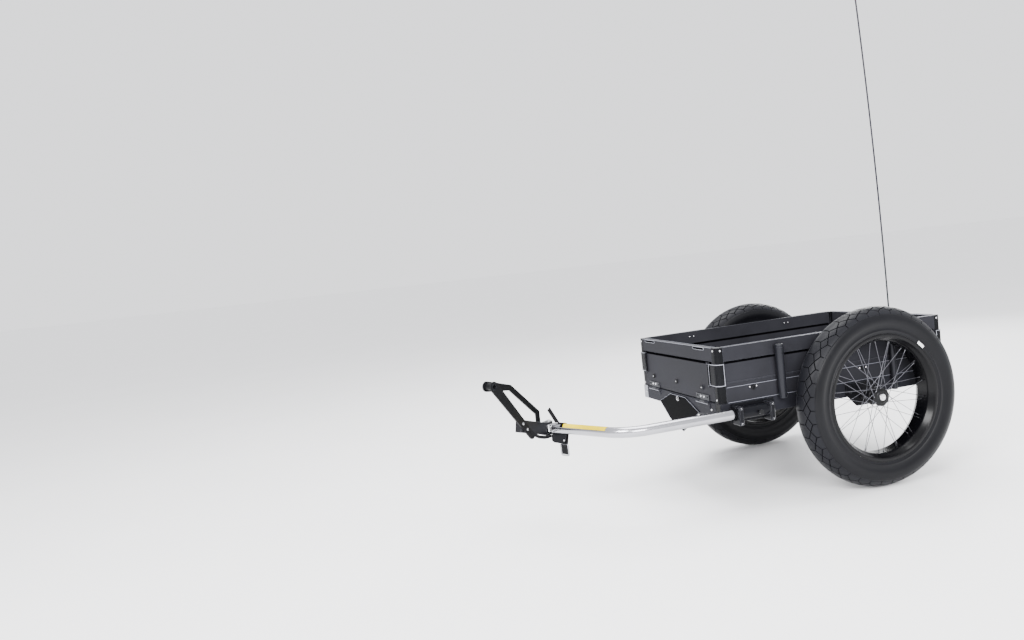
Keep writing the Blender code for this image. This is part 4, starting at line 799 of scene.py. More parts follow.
def build_side(side, sign):
    """Lashing eyes, inside bolts, light lines along the edges as a painted highlight (dark on the
    far side's top, as painted shade), and black strips under the upper board as a painted shadow,
    of a side wall.
    """
    for share in EYE_SHARES:
        build_lashing_eye(side, sign, box_share(share))
    for y in map(box_share, INSIDE_BOLT_SHARES):
        spots = [
            (sign * INSIDE_X, y + step * INSIDE_BOLTS_APART / 2, WALL_TOP - INSIDE_BOLTS_DOWN)
            for step in (-1, 1)]
        name = f"{side}_upper_bolts_{round((y - BOX_FRONT_Y) * 1000)}"
        screws(name, "upper_bolts", spots, BASE, (-sign, 0, 0))
    run = (BOX_FRONT_Y + POST_REACH, BOX_REAR_Y - POST_REACH)
    # The near side's top lines are light, a painted highlight; the far side's are dark, as painted
    # shade.
    top_line_tone = EDGE_GLINT if sign > 0 else PLATE_COAT

    def long_edge_line(name, x, z, material):
        edge_line(f"{side}_{name}", [(sign * x, y, z) for y in run], material, BASE)

    # Light lines along the wall's foot and band: a painted highlight on those edges.
    long_edge_line("foot_glint", HALF_BOX + 0.0002, WALL_LOW.z + FOOT_LINE_UP, EDGE_GLINT)
    long_edge_line("band_glint", HALF_BOX + 0.0002, WALL_LOW.z + BAND_LINE_UP, EDGE_GLINT)
    # Black strips under the upper board, outside and inside: painted shadow.
    for name, x, way in (("outer", HALF_BOX - BAND_INSET, 1), ("inner", INSIDE_X, -1)):
        low = (sign * (x + way * SHADOW_STRIP_PROUD), run[0], SHADOW_STRIP_TOP - SHADOW_STRIP_DEPTH)
        high = (sign * (x - way * SHADOW_STRIP_SUNK), run[1], SHADOW_STRIP_TOP - 0.0002)
        dress(block(f"{side}_{name}_shadow_strip", low, high), SHADOW_BLACK, BASE)
    long_edge_line("top_edge_line", HALF_BOX - EDGE_LINE_INSET, TOP_EDGE_LINE_Z, top_line_tone)
    long_edge_line("inner_top_edge_line", INSIDE_X + EDGE_LINE_INSET, TOP_EDGE_LINE_Z, top_line_tone)


def build_post_screws(side, end, x_sign, y_sign):
    """The screws of a corner post on its two faces, and the one in the cross rail under it."""
    post = f"{side}_{end}_corner_post"
    face_x, face_y = face_of(post, 0, x_sign), face_of(post, 1, y_sign)
    middle, top, foot = node_centre(post), face_of(post, 2, 1), face_of(post, 2, -1)
    spots = [((face_x, middle.y - y_sign * 0.0035, top - 0.010), (x_sign, 0, 0))]
    for z in (top - 0.010, foot + 0.012):
        spots.append(((middle.x - x_sign * 0.0045, face_y, z), (0, y_sign, 0)))
    screws(f"{side}_{end}_post_screws", "post_screws", spots, BASE)
    low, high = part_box("left_side_rail")
    spot = (x_sign * (abs(face_x) - 0.042), face_of(end + "_cross_rail", 1, y_sign),
            (low.z + high.z) / 2 + 0.004)
    screws(f"{side}_{end}_rail_screw", "rail_screw", [spot], BASE, (0, y_sign, 0))


def build_latch_rim(side, end, x_sign, y_sign):
    """The rolled rim round a latch's outer face, light grey as a painted highlight, and the pull
    lip beside its pin.
    """
    body = f"{end}_{side}_latch"
    low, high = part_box(body)
    face_y = BOX_FRONT_Y if y_sign < 0 else BOX_REAR_Y
    out_y = face_y + y_sign * LATCH_PROUD
    pin_x = HALF_BOX - LATCH_LEG
    path = [(pin_x + 0.0045, out_y)]
    path += [
        (HALF_BOX - LATCH_CENTRE_IN + x, face_y - y_sign * LATCH_CENTRE_IN + y_sign * y)
        for x, y in arc_points((0, 0), LATCH_TURN, 90, 0, 10)]
    path.append((HALF_BOX + LATCH_PROUD, face_of(body, 1, -y_sign) + y_sign * 0.0008))
    top = [(x_sign * x, y, high.z - LATCH_RIM_IN) for x, y in path]
    foot = [(x_sign * x, y, low.z + LATCH_RIM_IN) for x, y in reversed(path)]
    loop(body + "_rim", top + foot, RIM_GLINT, body, 0.0012)
    middle = (low.z + high.z) / 2
    first = (x_sign * (pin_x + 0.0068), out_y - y_sign * 0.0004, middle - LIP_HALF_HEIGHT)
    second = (x_sign * (pin_x + 0.0105), out_y + y_sign * 0.0016, middle + LIP_HALF_HEIGHT)
    dress(block(body + "_lip", first, second, 0.0006), SKID_COAT, body)


def slot_outline(half_width, half_height, steps=6):
    """Points round a slot with round ends."""
    points = []
    for end in (1, -1):
        for step in range(steps + 1):
            angle = -math.pi / 2 + math.pi * step / steps
            x = end * (half_width - half_height + half_height * math.cos(angle))
            points.append((x, end * half_height * math.sin(angle)))
    return points


def build_end(end, y_sign):
    """Hand slots, edge lines, black strips and hinge screws of an end wall. The slots' black films
    are painted shade, the slots' rims, the top lines and the lines under the front hinges painted
    highlights, and the strips under the upper board painted shadow.
    """
    wall, board = end + "_wall", end + "_wall_upper_board"
    low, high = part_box(board)
    face = face_of(board, 1, y_sign)
    stand = Matrix(((1, 0, 0), (0, 0, y_sign), (0, 1, 0))).to_4x4()
    for name, x, half in HAND_SLOTS:
        middle = Vector((x, face + y_sign * 0.0002, WALL_TOP - SLOT_DOWN))
        edge = [middle + Vector((x, 0, z)) for x, z in slot_outline(half, SLOT_HALF_HEIGHT)]
        outline = [(point.x - middle.x, point.z - middle.z) for point in edge]
        # A light rim round the slot: a painted highlight on its edge.
        loop(f"{end}_{name}_slot_rim", edge, RIM_GLINT, wall, 0.0008)
        # A thin black film in the slot: painted shade that stands for the depth of the opening.
        place = Matrix.Translation(middle) @ stand
        dress(prism(f"{end}_{name}_slot", outline, 0.0008, place), SHADOW_BLACK, wall)
    faces = ("outer", face, y_sign), ("inner", face - y_sign * WALL_THICKNESS, -y_sign)
    # Light lines along the top edges, outside and inside: a painted highlight.
    for name, y, _ in faces:
        points = [(x, y, TOP_EDGE_LINE_Z) for x in (low.x + 0.001, high.x - 0.001)]
        edge_line(f"{end}_{name}_lip", points, EDGE_GLINT, wall)
    # Black strips under the upper board, outside and inside: painted shadow.
    for name, y, way in faces:
        first = (low.x + 0.003, y + way * SHADOW_STRIP_PROUD, SHADOW_STRIP_TOP - SHADOW_STRIP_DEPTH)
        second = (high.x - 0.003, y - way * SHADOW_STRIP_SUNK, SHADOW_STRIP_TOP - 0.0002)
        dress(block(f"{end}_{name}_shadow_strip", first, second), SHADOW_BLACK, wall)
    for side, _ in SIDES:
        leaf_low, leaf_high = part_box(f"{end}_{side}_hinge_leaf")
        middle = (leaf_low.x + leaf_high.x) / 2
        for part, apart in LEAF_SCREWS:
            spots = [
                (middle + step, face + y_sign * 0.0032, leaf_high.z - 0.0075)
                for step in (-apart, apart)]
            screws(f"{end}_{side}_leaf_{part}", "leaf_" + part, spots, wall, (0, y_sign, 0))
        # Under each front hinge, a light line: a painted highlight on the leaf's lower edge.
        if y_sign < 0:
            ends = (leaf_low.x + 0.001, leaf_high.x - 0.001)
            points = [(x, leaf_low.y, leaf_low.z - 0.0015) for x in ends]
            edge_line(f"{end}_{side}_leaf_glint", points, RIM_GLINT, BASE, 0.0009)


def build_bumpers():
    """Domed rubber bumpers, each with a screw, over the plain ones on the front wall."""
    board = face_of("front_wall_upper_board", 1, -1)
    spacing = node_centre("front_left_hinge_leaf").x
    profile = [
        (0, BUMPER_HEIGHT), (0.0036, BUMPER_HEIGHT), (0.0040, 0.0056), (0.0060, 0.0056),
        (0.0074, 0.0050), (0.0080, 0.0035), (0.0080, 0.0), (0, 0),
    ]
    for number, x in enumerate((-spacing, 0.0, spacing)):
        place = facing((x, board, BUMPER_UP), (0, -1, 0))
        dress(lathe(f"bumper_dome_{number}", profile, place, 40), HARD_RUBBER, "front_wall")
        spot = (x, board - BUMPER_HEIGHT, BUMPER_UP)
        screws(f"bumper_screw_{number}", "bumper_screw", [spot], "front_wall", (0, -1, 0))


# Stake tubes, flag pole, skid plate and axle plates

POLE_RADIUS = 0.0025
POLE_TIP_RADIUS = 0.004
POLE_SET_FORWARD = 0.050
POLE_STEPS = 24
POLE_RISE_SHARE = 0.9985
STAKE_DOME = 0.004
SOCKET_FLOOR = 0.010


def build_stake(node, bore=0.0):
    """A smooth tube with a domed plastic cap, or an open mouth where it holds the flag pole."""
    low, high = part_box(node)
    radius, length = (high.y - low.y) / 2, high.z - low.z
    x, y = (low.x + high.x) / 2, (low.y + high.y) / 2
    shoulder = length - STAKE_DOME
    profile = [
        (bore, SOCKET_FLOOR) if bore else (0, 0), (radius - 0.0008, 0), (radius, 0.0008),
        (radius, length - 0.0125), (radius - 0.0004, length - 0.0122),
        (radius + 0.0001, length - 0.012), (radius + 0.0001, shoulder),
    ]
    profile += arc_points((radius - STAKE_DOME, shoulder), STAKE_DOME, 0, 90, 6)
    if bore:
        profile += [(bore + 0.0008, length), (bore, length - 0.0008), (bore, SOCKET_FLOOR)]
    else:
        profile.append((0, length))
    tube = lathe(node + "_form", profile, Matrix.Translation((x, y, low.z)), 64, bool(bore), 30)
    dress(tube, STAKE_GREY, BASE, node)
    out = 1 if x > 0 else -1
    side = x + out * (radius - 0.0002)
    spots = [(side, y, low.z + rise) for rise in (0.022, length - 0.030)]
    screws(node + "_rivets", "rivets", spots, BASE, (out, 0, 0))


def build_flag_pole():
    """The thin whip, straight in its socket and then set a little forward, with its end knob."""
    low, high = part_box("flag_pole")
    socket_low, socket_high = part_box("flag_pole_socket")
    x, y = (socket_low.x + socket_high.x) / 2, (socket_low.y + socket_high.y) / 2
    mouth = socket_high.z
    straight = mouth - low.z + 0.0015
    rise = high.z - low.z - straight
    points = [(x, y, low.z)]
    for step in range(POLE_STEPS + 1):
        share = step / POLE_STEPS
        z = low.z + straight + rise * share * POLE_RISE_SHARE
        points.append((x, y - POLE_SET_FORWARD * share * share, z))
    whip = pipe("flag_pole_form", points, POLE_RADIUS, 6)
    dress(whip, POLE_BLACK, "flag_pole", "flag_pole")
    top, below = Vector(points[-1]), Vector(points[-2])
    along = (top - below).normalized()
    radius = POLE_TIP_RADIUS
    profile = [(0, 0), (radius - 0.0008, 0), (radius, 0.0008), (radius, radius * 2)]
    profile += arc_points((0, radius * 2), radius, 0, 90, 6)
    knob = lathe("flag_pole_knob", profile, facing(top - along * radius * 2.6, along), 32)
    dress(knob, HARD_RUBBER, "flag_pole")
    ring = ((0.0001, 0), (0.0022, 0), (0.0022, 0.0045), (0.0012, 0.006), (0.0001, 0.006))
    collar = [(POLE_RADIUS + out, up) for out, up in ring]
    place = Matrix.Translation((x, y, mouth + 0.0003))
    dress(lathe("flag_pole_ferrule", collar, place, 40, True), ZINC, "flag_pole")


def build_skid_details():
    """A light line round the skid plate's outline, a painted highlight, and its bolt."""
    low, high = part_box("skid_plate")
    face = low.y + 0.0044
    bottom, half = low.z, (high.x - low.x) / 2
    outline = (
        (0.0, bottom + 0.0075), (0.0185, bottom + 0.0015), (0.078, bottom + 0.0370),
        (half - 0.0020, 0.303), (0.0545, 0.3415), (-0.0545, 0.3415), (0.0020 - half, 0.303),
        (-0.078, bottom + 0.0370), (-0.0185, bottom + 0.0015),
    )
    loop("skid_glint", [(x, face, z) for x, z in outline], EDGE_GLINT, BASE, EDGE_LINE_RADIUS)
    spot = (0, face - 0.0008, high.z - 0.012)
    screws("skid_bolt_head", "skid_bolt", [spot], BASE, (0, -1, 0))


def build_axle_plate_bolts(side, sign):
    plate = side + "_axle_plate"
    face, middle, top = face_of(plate, 0, sign), node_centre(plate).y, face_of(plate, 2, 1)
    spots = [(face, middle + y, top - drop) for drop in (0.010, 0.030) for y in (-0.050, 0.050)]
    screws(plate + "_bolts", "axle_plate_bolts", spots, BASE, (sign, 0, 0))


# Receiver

BAR_RADIUS = 0.017
COLLAR_LOW, COLLAR_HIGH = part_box("receiver_collar")
BAR_X = (COLLAR_LOW.x + COLLAR_HIGH.x) / 2
BAR_Z = (COLLAR_LOW.z + COLLAR_HIGH.z) / 2
RECEIVER_LOW, RECEIVER_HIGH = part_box("receiver_tube")
PIN_TIP_X = face_of("drawbar_lock_pin", 0, 1)
PIN_Y = node_centre("drawbar_lock_pin").y
KNOB_RADIUS = 0.0080
KNOB_HEIGHT = 0.0070
KNOB_ROUND = 0.0038
KNOB_SHOULDER = 0.0030


def build_receiver():
    """The smooth receiver tube with its pin boss, the mouth collar, and the clamps' bolts."""
    length = RECEIVER_HIGH.y - RECEIVER_LOW.y
    outer, inner = (RECEIVER_HIGH.z - RECEIVER_LOW.z) / 2, BAR_RADIUS + 0.0004
    profile = [
        (inner, 0.0010), (inner + 0.0008, 0), (outer - 0.0006, 0), (outer, 0.0006),
        (outer, length - 0.0006), (outer - 0.0006, length), (inner, length),
    ]
    place = facing((BAR_X, RECEIVER_LOW.y, BAR_Z), (0, 1, 0))
    tube = lathe("receiver_tube_form", profile, place, 96, True)
    dress(tube, RECEIVER_GREY, BASE, "receiver_tube")
    root = BAR_X + BAR_RADIUS + 0.001
    reach = RECEIVER_HIGH.x - root
    boss = [(0.0036, 0), (0.0060, 0), (0.0060, reach - 0.0008), (0.0052, reach), (0.0036, reach)]
    place = facing((root, PIN_Y, BAR_Z), (1, 0, 0))
    dress(lathe("receiver_pin_boss", boss, place, 40, True), RECEIVER_GREY, BASE)

    width = COLLAR_HIGH.y - COLLAR_LOW.y
    rim = (COLLAR_HIGH.z - COLLAR_LOW.z) / 2
    profile = [
        (inner, 0.0012), (inner + 0.0010, 0), (rim - 0.0014, 0), (rim - 0.0004, 0.0006),
        (rim, 0.0018), (rim, width - 0.0012), (rim - 0.0006, width), (inner, width),
    ]
    place = facing((BAR_X, COLLAR_LOW.y, BAR_Z), (0, 1, 0))
    collar = lathe("receiver_collar_form", profile, place, 96, True)
    dress(collar, SKID_COAT, BASE, "receiver_collar")

    spots = []
    for end, _ in ENDS:
        low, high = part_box(f"receiver_{end}_clamp")
        for z in (low.z + 0.006, high.z - 0.006):
            spots.append((high.x - 0.0028, (low.y + high.y) / 2, z))
    screws("clamp_bolt_heads", "clamp_bolts", spots, BASE, (1, 0, 0))

    radius, head = KNOB_RADIUS, KNOB_HEIGHT
    profile = [(0, 0), (radius - 0.0006, 0), (radius, 0.0006), (radius, KNOB_SHOULDER)]
    profile += arc_points((radius - KNOB_ROUND, KNOB_SHOULDER), KNOB_ROUND, 0, 90, 6)
    profile += [(0.0028, head - 0.0002), (0.0022, head - 0.0022), (0, head - 0.0022)]
    knob = lathe("lock_pin_knob", profile, facing((PIN_TIP_X - head, PIN_Y, BAR_Z), (1, 0, 0)), 56)
    dress(knob, HUB_BLACK, "drawbar_lock_pin")
    tip = (PIN_TIP_X - 0.0024, PIN_Y, BAR_Z)
    screws("lock_pin_tip", "pin_tip", [tip], "drawbar_lock_pin", (1, 0, 0))


# Drawbar and its end

KING = node_centre("kingpin")
PIVOT = Vector((KING.x, KING.y, 0.3073))
CORNER = Vector((BAR_X, RECEIVER_LOW.y - 0.383, BAR_Z))
BACK = (CORNER - PIVOT).normalized()
BEND_RADIUS = 0.120
BEND_STEPS = 32
HEADING = math.atan2(BACK.y, BACK.x)
SLOPE = math.atan2(BACK.z, math.hypot(BACK.x, BACK.y))
LEVEL_FRAME = Matrix.Translation(PIVOT) @ Matrix.Rotation(HEADING, 4, "Z")
BAR_FRAME = LEVEL_FRAME @ Matrix.Rotation(-SLOPE, 4, "Y")
BAR_END = 0.0273
STICKER_START = 0.072
STICKER_STOP = 0.268
STICKER_ANGLES = (58, 152)
EYE_HALF = 0.013
EYE_BORE = 0.0054
EYE_RADIUS = 0.0160
TONGUE_HALF = 0.0112
PLUG_BACK = 0.0172


def build_drawbar():
    """The bent tube as one smooth sweep."""
    ahead = Vector((0, -1, 0))
    half_turn = ahead.angle(-BACK) / 2
    run = BEND_RADIUS * math.tan(half_turn)
    middle = CORNER + (-BACK - ahead).normalized() * BEND_RADIUS / math.cos(half_turn)
    spoke = CORNER - ahead * run - middle
    axis = ahead.cross(-BACK).normalized()
    points = [Vector((BAR_X, face_of("drawbar", 1, 1), BAR_Z))]
    for step in range(BEND_STEPS + 1):
        points.append(middle + Matrix.Rotation(2 * half_turn * step / BEND_STEPS, 3, axis) @ spoke)
    points.append(PIVOT + BACK * BAR_END)
    dress(pipe("drawbar_form", points, BAR_RADIUS, 22), BAR_POLISH, "drawbar", "drawbar")


def wrapped_patch(name, tops, feet, lift, material, steps=14):
    """A film on the bar between two long edges, each given by its start and stop from the pivot."""
    radius = BAR_RADIUS + lift
    top_angle, foot_angle = STICKER_ANGLES
    rows = []
    for across in range(steps + 1):
        share = across / steps
        angle = math.radians(top_angle + (foot_angle - top_angle) * share)
        start, stop = [top + (foot - top) * share for top, foot in zip(tops, feet)]
        rows.append([
            BAR_FRAME @ Vector((start + (stop - start) * along / 8, radius * math.cos(angle),
                                radius * math.sin(angle)))
            for along in range(9)])
    film(name, rows, material, "drawbar")


def build_sticker():
    """A blank yellow strip with a black slanted end, over the near upper side of the bar."""
    start, stop = STICKER_START, STICKER_STOP
    wrapped_patch("bar_sticker", (start, stop), (start + 0.010, stop), 0.00035, YELLOW_LABEL)
    ends = (start - 0.010, start), (start - 0.004, start + 0.010)
    wrapped_patch("bar_sticker_end", *ends, 0.00036, SKID_COAT)


def build_coupling():
    """The eye, its tongue, the plug in the bar's end, and the screws of the plate under it."""
    half, rim, bore = EYE_HALF, EYE_RADIUS, EYE_BORE
    profile = [
        (bore, -half), (rim - 0.001, -half), (rim, 0.001 - half), (rim, half - 0.001),
        (rim - 0.001, half), (bore, half),
    ]
    eye = lathe("coupling_eye", profile, Matrix.Translation(PIVOT), 72, True)
    dress(eye, BRIGHT_STEEL, "drawbar", "coupling_head")
    half = TONGUE_HALF
    tongue = block("coupling_tongue", (0.0140, -half, -half), (0.0185, half, half), 0.0012)
    tongue.matrix_world = BAR_FRAME @ tongue.matrix_world
    dress(tongue, BRIGHT_STEEL, "drawbar")
    profile = [
        (0, 0), (0.0134, 0), (0.0162, 0.0030), (0.0170, 0.0044), (0.0170, 0.0086),
        (0.0165, 0.0090), (0.0165, 0.0098), (0, 0.0098),
    ]
    plug = lathe("coupling_plug", profile, BAR_FRAME @ facing((PLUG_BACK, 0, 0), (1, 0, 0)), 72)
    dress(plug, BRIGHT_STEEL, "drawbar")
    way = LEVEL_FRAME.to_3x3() @ Vector((0, -1, 0))
    spots = [
        (LEVEL_FRAME @ Vector((x, -0.0025, z)), way) for x, z in ((0.024, -0.010), (0.070, -0.038))]
    screws("coupling_plate_screws", "plate_screws", spots, "drawbar")


# Safety strap

STRAP_BACK = 0.064
STRAP_WIDTH = 0.028
STRAP_THICKNESS = 0.0025
STRAP_GAP = 0.0003
STRAP_START = 104
STRAP_RETURN = -185
WEBBING_EDGE = 0.0006
RING_WIRE = 0.002
RING_WIDTH = 0.036
RING_TOP = -0.0545
RING_FOOT = -0.0925
RING_CORNER = 0.006
TAIL_BACK = 0.034
TAIL_WIDTH = 0.017
TAIL_LENGTH = 0.052
TAIL_LEAN = math.radians(37)
THREAD_RADIUS = 0.00030
STITCH_SHARES = (0.18, 0.78)
STAND_ACROSS = Matrix(((0, 0, 1), (1, 0, 0), (0, 1, 0))).to_4x4()
STAND_ALONG = Matrix(((1, 0, 0), (0, 0, -1), (0, 1, 0))).to_4x4()


def add_stitches(shape, start, end, side, count):
    """A row of short thread stitches between two points, on the strap's face towards side."""
    start, end = Vector(start), Vector(end)
    along, lift = (end - start) / count, Vector(side) * STRAP_THICKNESS / 2
    for number in range(count):
        first, last = [start + along * (number + share) + lift for share in STITCH_SHARES]
        add_bar(shape, first, last, THREAD_RADIUS, 5)


def build_strap():
    """Webbing over the bar and down its far side to the ring, with a hanging flap and a tail."""
    inner, over = RING_WIRE + STRAP_GAP, BAR_RADIUS + STRAP_GAP
    leave = math.degrees(math.acos((inner - over) / RING_TOP) - math.pi / 2)
    line = arc_points((0, 0), over + STRAP_THICKNESS, STRAP_START, leave, 28)
    line += arc_points((0, RING_TOP), inner + STRAP_THICKNESS, leave, STRAP_RETURN, 20)
    line += arc_points((0, RING_TOP), inner, STRAP_RETURN, leave, 20)
    line += arc_points((0, 0), over, leave, STRAP_START, 28)
    place = BAR_FRAME @ Matrix.Translation((STRAP_BACK, 0, 0)) @ STAND_ACROSS
    band = prism("strap_band", line, STRAP_WIDTH, place, WEBBING_EDGE, 30)
    dress(band, WEBBING, "drawbar", "safety_strap")

    half, side = STRAP_THICKNESS / 2, STRAP_WIDTH / 2
    top, foot = RING_TOP - inner - half + 0.0006, RING_FOOT + RING_WIRE + 0.0015
    corners = (STRAP_BACK - side, -half, foot), (STRAP_BACK + side, half, top)
    flap = block("strap_flap", *corners, WEBBING_EDGE)
    flap.matrix_world = BAR_FRAME @ flap.matrix_world
    dress(flap, WEBBING, "drawbar")

    base, lean, rise = over + half, math.sin(TAIL_LEAN), math.cos(TAIL_LEAN)
    left = TAIL_BACK
    tip = (left - TAIL_LENGTH * lean, base + TAIL_LENGTH * rise)
    end = (tip[0] + TAIL_WIDTH * rise, tip[1] + TAIL_WIDTH * lean)
    outline = [(left, base), (left + TAIL_WIDTH / rise, base), end, tip]
    tail = prism("strap_tail", outline, STRAP_THICKNESS, BAR_FRAME @ STAND_ALONG, WEBBING_EDGE)
    dress(tail, WEBBING, "drawbar")

    threads = bmesh.new()
    near = (0, -1, 0)
    for x in (STRAP_BACK - 0.0112, STRAP_BACK + 0.0112):
        for face in (near, (0, 1, 0)):
            add_stitches(threads, (x, 0, top - 0.002), (x, 0, foot + 0.002), face, 8)
    for z in (top - 0.004, foot + 0.003):
        add_stitches(threads, (STRAP_BACK - 0.010, 0, z), (STRAP_BACK + 0.010, 0, z), near, 7)
    way = Vector((-lean, 0, rise))
    for inset in (0.0022, TAIL_WIDTH - 0.0022):
        first = Vector((left + inset / rise, 0, base + 0.004))
        add_stitches(threads, first, first + way * (TAIL_LENGTH - 0.010), near, 13)
    bmesh.ops.transform(threads, matrix=BAR_FRAME, verts=threads.verts)
    dress(piece_from(threads, "strap_stitches"), THREAD, "drawbar")

    across = RING_WIDTH / 2 - RING_CORNER
    high, low = RING_TOP - RING_CORNER, RING_FOOT + RING_CORNER
    points = []
    centres = (across, high), (-across, high), (-across, low), (across, low)
    for number, centre in enumerate(centres):
        for x, z in arc_points(centre, RING_CORNER, number * 90, number * 90 + 90, 6):
            points.append(BAR_FRAME @ Vector((STRAP_BACK + x, 0, z)))
    ring = pipe("strap_ring_form", points, RING_WIRE, 8, cyclic=True)
    dress(ring, RING_STEEL, "drawbar", "strap_ring")


# Hitch

HITCH_FRAME = Matrix.Translation(PIVOT) @ Matrix.Rotation(math.radians(-60), 4, "Z")
HITCH_SIDE = HITCH_FRAME.to_3x3() @ Vector((0, 1, 0))
ARM_OUTER = 0.0193
ARM_EYE = Vector((0.252, 0.190))
# Each arm's side, its foot, where it leads to, and how far along it its bolts lie
ARM_BOLTS = (
    (1, Vector((0.105, -0.002)), ARM_EYE, (0.033, 0.061)),
    (-1, Vector((0.033, -0.012)), Vector((0.033, 0.058)), (0.008, 0.026)),
)
LEAD_PATH = (
    (0.112, 0.013), (0.094, -0.003), (0.074, -0.014), (0.050, -0.0215), (0.030, -0.0245),
    (0.012, -0.0250),
)
LEAD_HALF = 0.0055
LEAD_SKIN = 0.0008
LEAD_END = 0.75


def build_kingpin():
    """The pin's two domed heads."""
    profile = [
        (0, 0.0040), (0.0032, 0.0040), (0.0056, 0.0037), (0.0078, 0.0028), (0.0089, 0.0016),
        (0.0090, 0.0008), (0.0090, 0.0001), (0, 0.0001),
    ]
    for name, way in (("head", 1), ("foot", -1)):
        height = face_of("kingpin", 2, way) - way * 0.0040
        place = facing((PIVOT.x, PIVOT.y, height), (0, 0, way))
        dress(lathe(f"kingpin_{name}_dome", profile, place, 64), BRIGHT_STEEL, "hitch")


def build_arm_bolts():
    spots = []
    for way, foot, end, distances in ARM_BOLTS:
        along = (end - foot).normalized()
        for distance in distances:
            spot = foot + along * distance
            place = HITCH_FRAME @ Vector((spot.x, way * ARM_OUTER, spot.y))
            spots.append((place, way * HITCH_SIDE))
    screws("hitch_arm_bolts", "arm_bolts", spots, "hitch")


def build_lead():
    """A thin webbing lead along the block's near side, from the arm's foot to the coupling."""
    shape = bmesh.new()
    last = len(LEAD_PATH) - 1
    inner = ARM_OUTER + 0.0004
    outer = inner + LEAD_SKIN
    rows = []
    for number, (reach, height) in enumerate(LEAD_PATH):
        before, after = LEAD_PATH[max(number - 1, 0)], LEAD_PATH[min(number + 1, last)]
        way = Vector((after[0] - before[0], after[1] - before[1])).normalized()
        side = Vector((-way.y, way.x)) * LEAD_HALF * (LEAD_END if number in (0, last) else 1.0)
        upper = reach + side.x, height + side.y
        lower = reach - side.x, height - side.y
        corners = (upper, inner), (upper, outer), (lower, outer), (lower, inner)
        rows.append([shape.verts.new(HITCH_FRAME @ Vector((x, out, z))) for (x, z), out in corners])
    for first, second in zip(rows, rows[1:]):
        for corner in range(4):
            after = (corner + 1) % 4
            shape.faces.new((first[corner], first[after], second[after], second[corner]))
    for end in (rows[0], rows[-1]):
        shape.faces.new(end)
    dress(piece_from(shape, "hitch_lead"), WEBBING, "hitch")


def build_arm_eye():
    """A washer round the eye of each arm, where the bicycle's axle goes through."""
    profile = [
        (0.0064, -0.0004), (0.0118, -0.0004), (0.0118, 0.0008), (0.0112, 0.0013),
        (0.0070, 0.0013), (0.0064, 0.0008),
    ]
    for name, way in (("near", 1), ("far", -1)):
        spot = HITCH_FRAME @ Vector((ARM_EYE.x, way * ARM_OUTER, ARM_EYE.y))
        ring = lathe(f"axle_eye_washer_{name}", profile, facing(spot, HITCH_SIDE * way), 48, True)
        dress(ring, PLATE_COAT, "hitch")


# Finishes of the CAD nodes, by the end of their names. A later line outdoes an earlier one.

FINISHES = (
    (RAIL_COAT, ("_side_rail", "_cross_rail")),
    (PLATE_COAT, ("_axle_plate", "receiver_backing_plate", "coupling_plate")),
    (PLANK, ("_side_wall", "_wall_panel", "_wall_upper_board")),
    (HUB_BLACK, ("_stub_axle", "drawbar_lock_pin")),
    (CAP_PLASTIC, ("_rail_cap",)),
    (POST_COAT, ("_corner_post", "left_front_rail_cap", "left_rear_rail_cap")),
    (HINGE_STEEL, ("_hinge_leaf",)),
    (LATCH_COAT, ("_latch",)),
    (FLOOR_PLASTIC, ("floor_panel",)),
    (STAKE_GREY, ("_stake_tube", "flag_pole_socket")),
    (SKID_COAT, ("skid_plate",)),
    (RECEIVER_GREY, ("receiver_tube", "receiver_collar", "_clamp")),
    (BAR_POLISH, ("drawbar", "coupling_head")),
    (WEBBING, ("safety_strap",)),
    (BRIGHT_STEEL, ("strap_ring", "kingpin")),
    (HITCH_BLACK, ("hitch_block",)),
    (ARM_BLACK, ("hitch_near_arm", "hitch_far_arm")),
    (POLE_BLACK, ("flag_pole",)),
)


# Stage

LIGHTS = (
    ("key_light", (2.6, -3.6, 3.4), (0.0, 0.0, 0.3), (2.0, 1.6), 330.0),
    ("side_light", (4.6, -0.6, 2.4), (0.0, 0.1, 0.35), (3.0, 2.0), 300.0),
    ("top_light", (-0.4, 0.4, 3.4), (0.0, 0.2, 0.3), (2.4, 2.4), 170.0),
    ("rear_light", (-2.6, 3.4, 2.2), (0.0, 0.3, 0.4), (1.6, 1.6), 90.0),
)


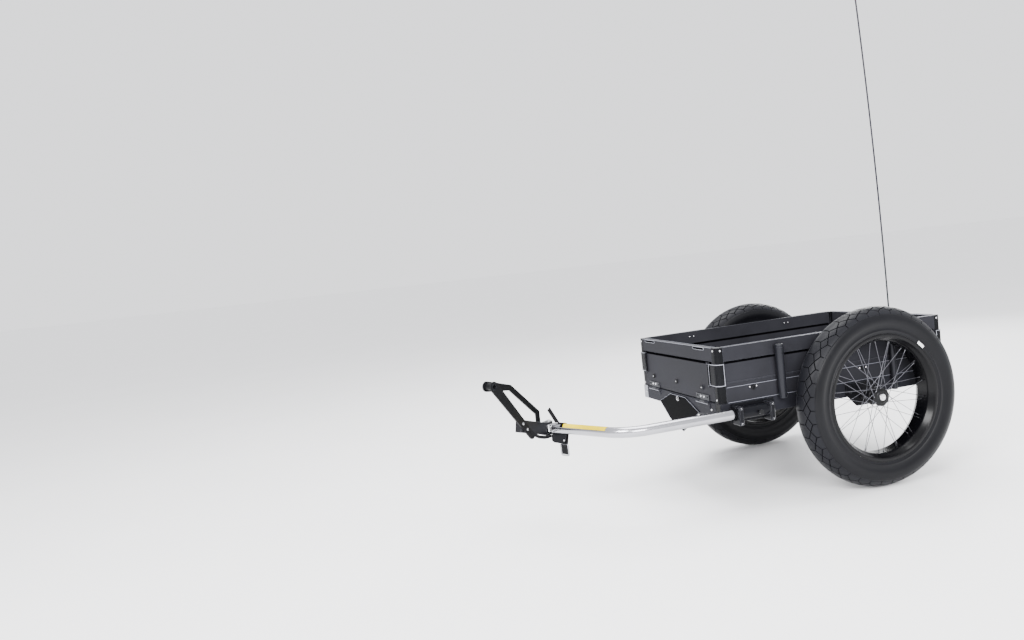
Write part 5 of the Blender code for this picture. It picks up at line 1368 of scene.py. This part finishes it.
def build_stage():
    """A pale floor, a soft sky, and area lights given by place, aim, size and power."""
    mesh = bpy.data.meshes.new("studio_floor")
    shape = bmesh.new()
    bmesh.ops.create_grid(shape, x_segments=1, y_segments=1, size=300)
    shape.to_mesh(mesh)
    shape.free()
    floor = new_piece("studio_floor", mesh, Matrix.Translation((0, 0, -0.0006)))
    finish = Finish("studio_floor", (0.88, 0.88, 0.89), 0.75)
    mottle = finish.spread(finish.noise(STAGE_MOTTLE_SCALE), 0, 1)
    finish.shade({"Base Color": finish.blend(mottle, (0.93, 0.93, 0.935), (0.95, 0.95, 0.955))})
    floor.data.materials.append(finish.material)

    world = bpy.data.worlds.new("studio")
    bpy.context.scene.world = world
    world.use_nodes = True
    sky = world.node_tree.nodes["Background"]
    sky.inputs["Color"].default_value = (0.97, 0.975, 1.0, 1)
    sky.inputs["Strength"].default_value = 1.75

    for name, place, aim, size, power in LIGHTS:
        lamp = bpy.data.lights.new(name, "AREA")
        lamp.shape = "RECTANGLE"
        lamp.size, lamp.size_y = size
        lamp.energy = power
        new_piece(name, lamp, facing(place, Vector(place) - Vector(aim)))


def build_camera():
    """The photograph's camera. It is level there and the trailer stands nose down, so it is
    rolled here instead."""
    heading, tilt, roll = CAMERA_HEADING, CAMERA_TILT, CAMERA_ROLL
    level = math.cos(tilt)
    ahead = Vector((-math.sin(heading) * level, math.cos(heading) * level, -math.sin(tilt)))
    right = Vector((math.cos(heading), math.sin(heading), 0))
    up = right.cross(ahead)
    across = right * math.cos(roll) + up * math.sin(roll)
    over = up * math.cos(roll) - right * math.sin(roll)
    data = bpy.data.cameras.new("photo_camera")
    data.sensor_width = SENSOR_MM
    data.lens = FOCAL_PIXELS / FRAME_PIXELS * SENSOR_MM
    data.clip_start, data.clip_end = 0.05, 200
    turn = Matrix((across, over, -ahead)).transposed().to_4x4()
    camera = new_piece("photo_camera", data, Matrix.Translation(CAMERA_PLACE) @ turn)
    bpy.context.scene.camera = camera


TREAD = tread_mesh()
for side_name, side_sign in SIDES:
    build_wheel(side_name, side_sign, TREAD)
build_tyre_label()
for side_name, side_sign in SIDES:
    build_side(side_name, side_sign)
    for end_name, end_sign in ENDS:
        build_post_screws(side_name, end_name, side_sign, end_sign)
        build_latch_rim(side_name, end_name, side_sign, end_sign)
for end_name, end_sign in ENDS:
    build_end(end_name, end_sign)
build_bumpers()
for stake in ("left_front_stake_tube", "right_front_stake_tube", "right_rear_stake_tube"):
    build_stake(stake)
build_stake("flag_pole_socket", POLE_RADIUS + 0.0003)
build_flag_pole()
build_skid_details()
for side_name, side_sign in SIDES:
    build_axle_plate_bolts(side_name, side_sign)
build_receiver()
build_drawbar()
build_sticker()
build_coupling()
build_strap()
build_kingpin()
build_arm_bolts()
build_lead()
build_arm_eye()
for node_name, cad_node in NODES.items():
    for coat, endings in FINISHES:
        if node_name.endswith(endings):
            for material_slot in cad_node.material_slots:
                material_slot.material = coat
build_stage()
build_camera()
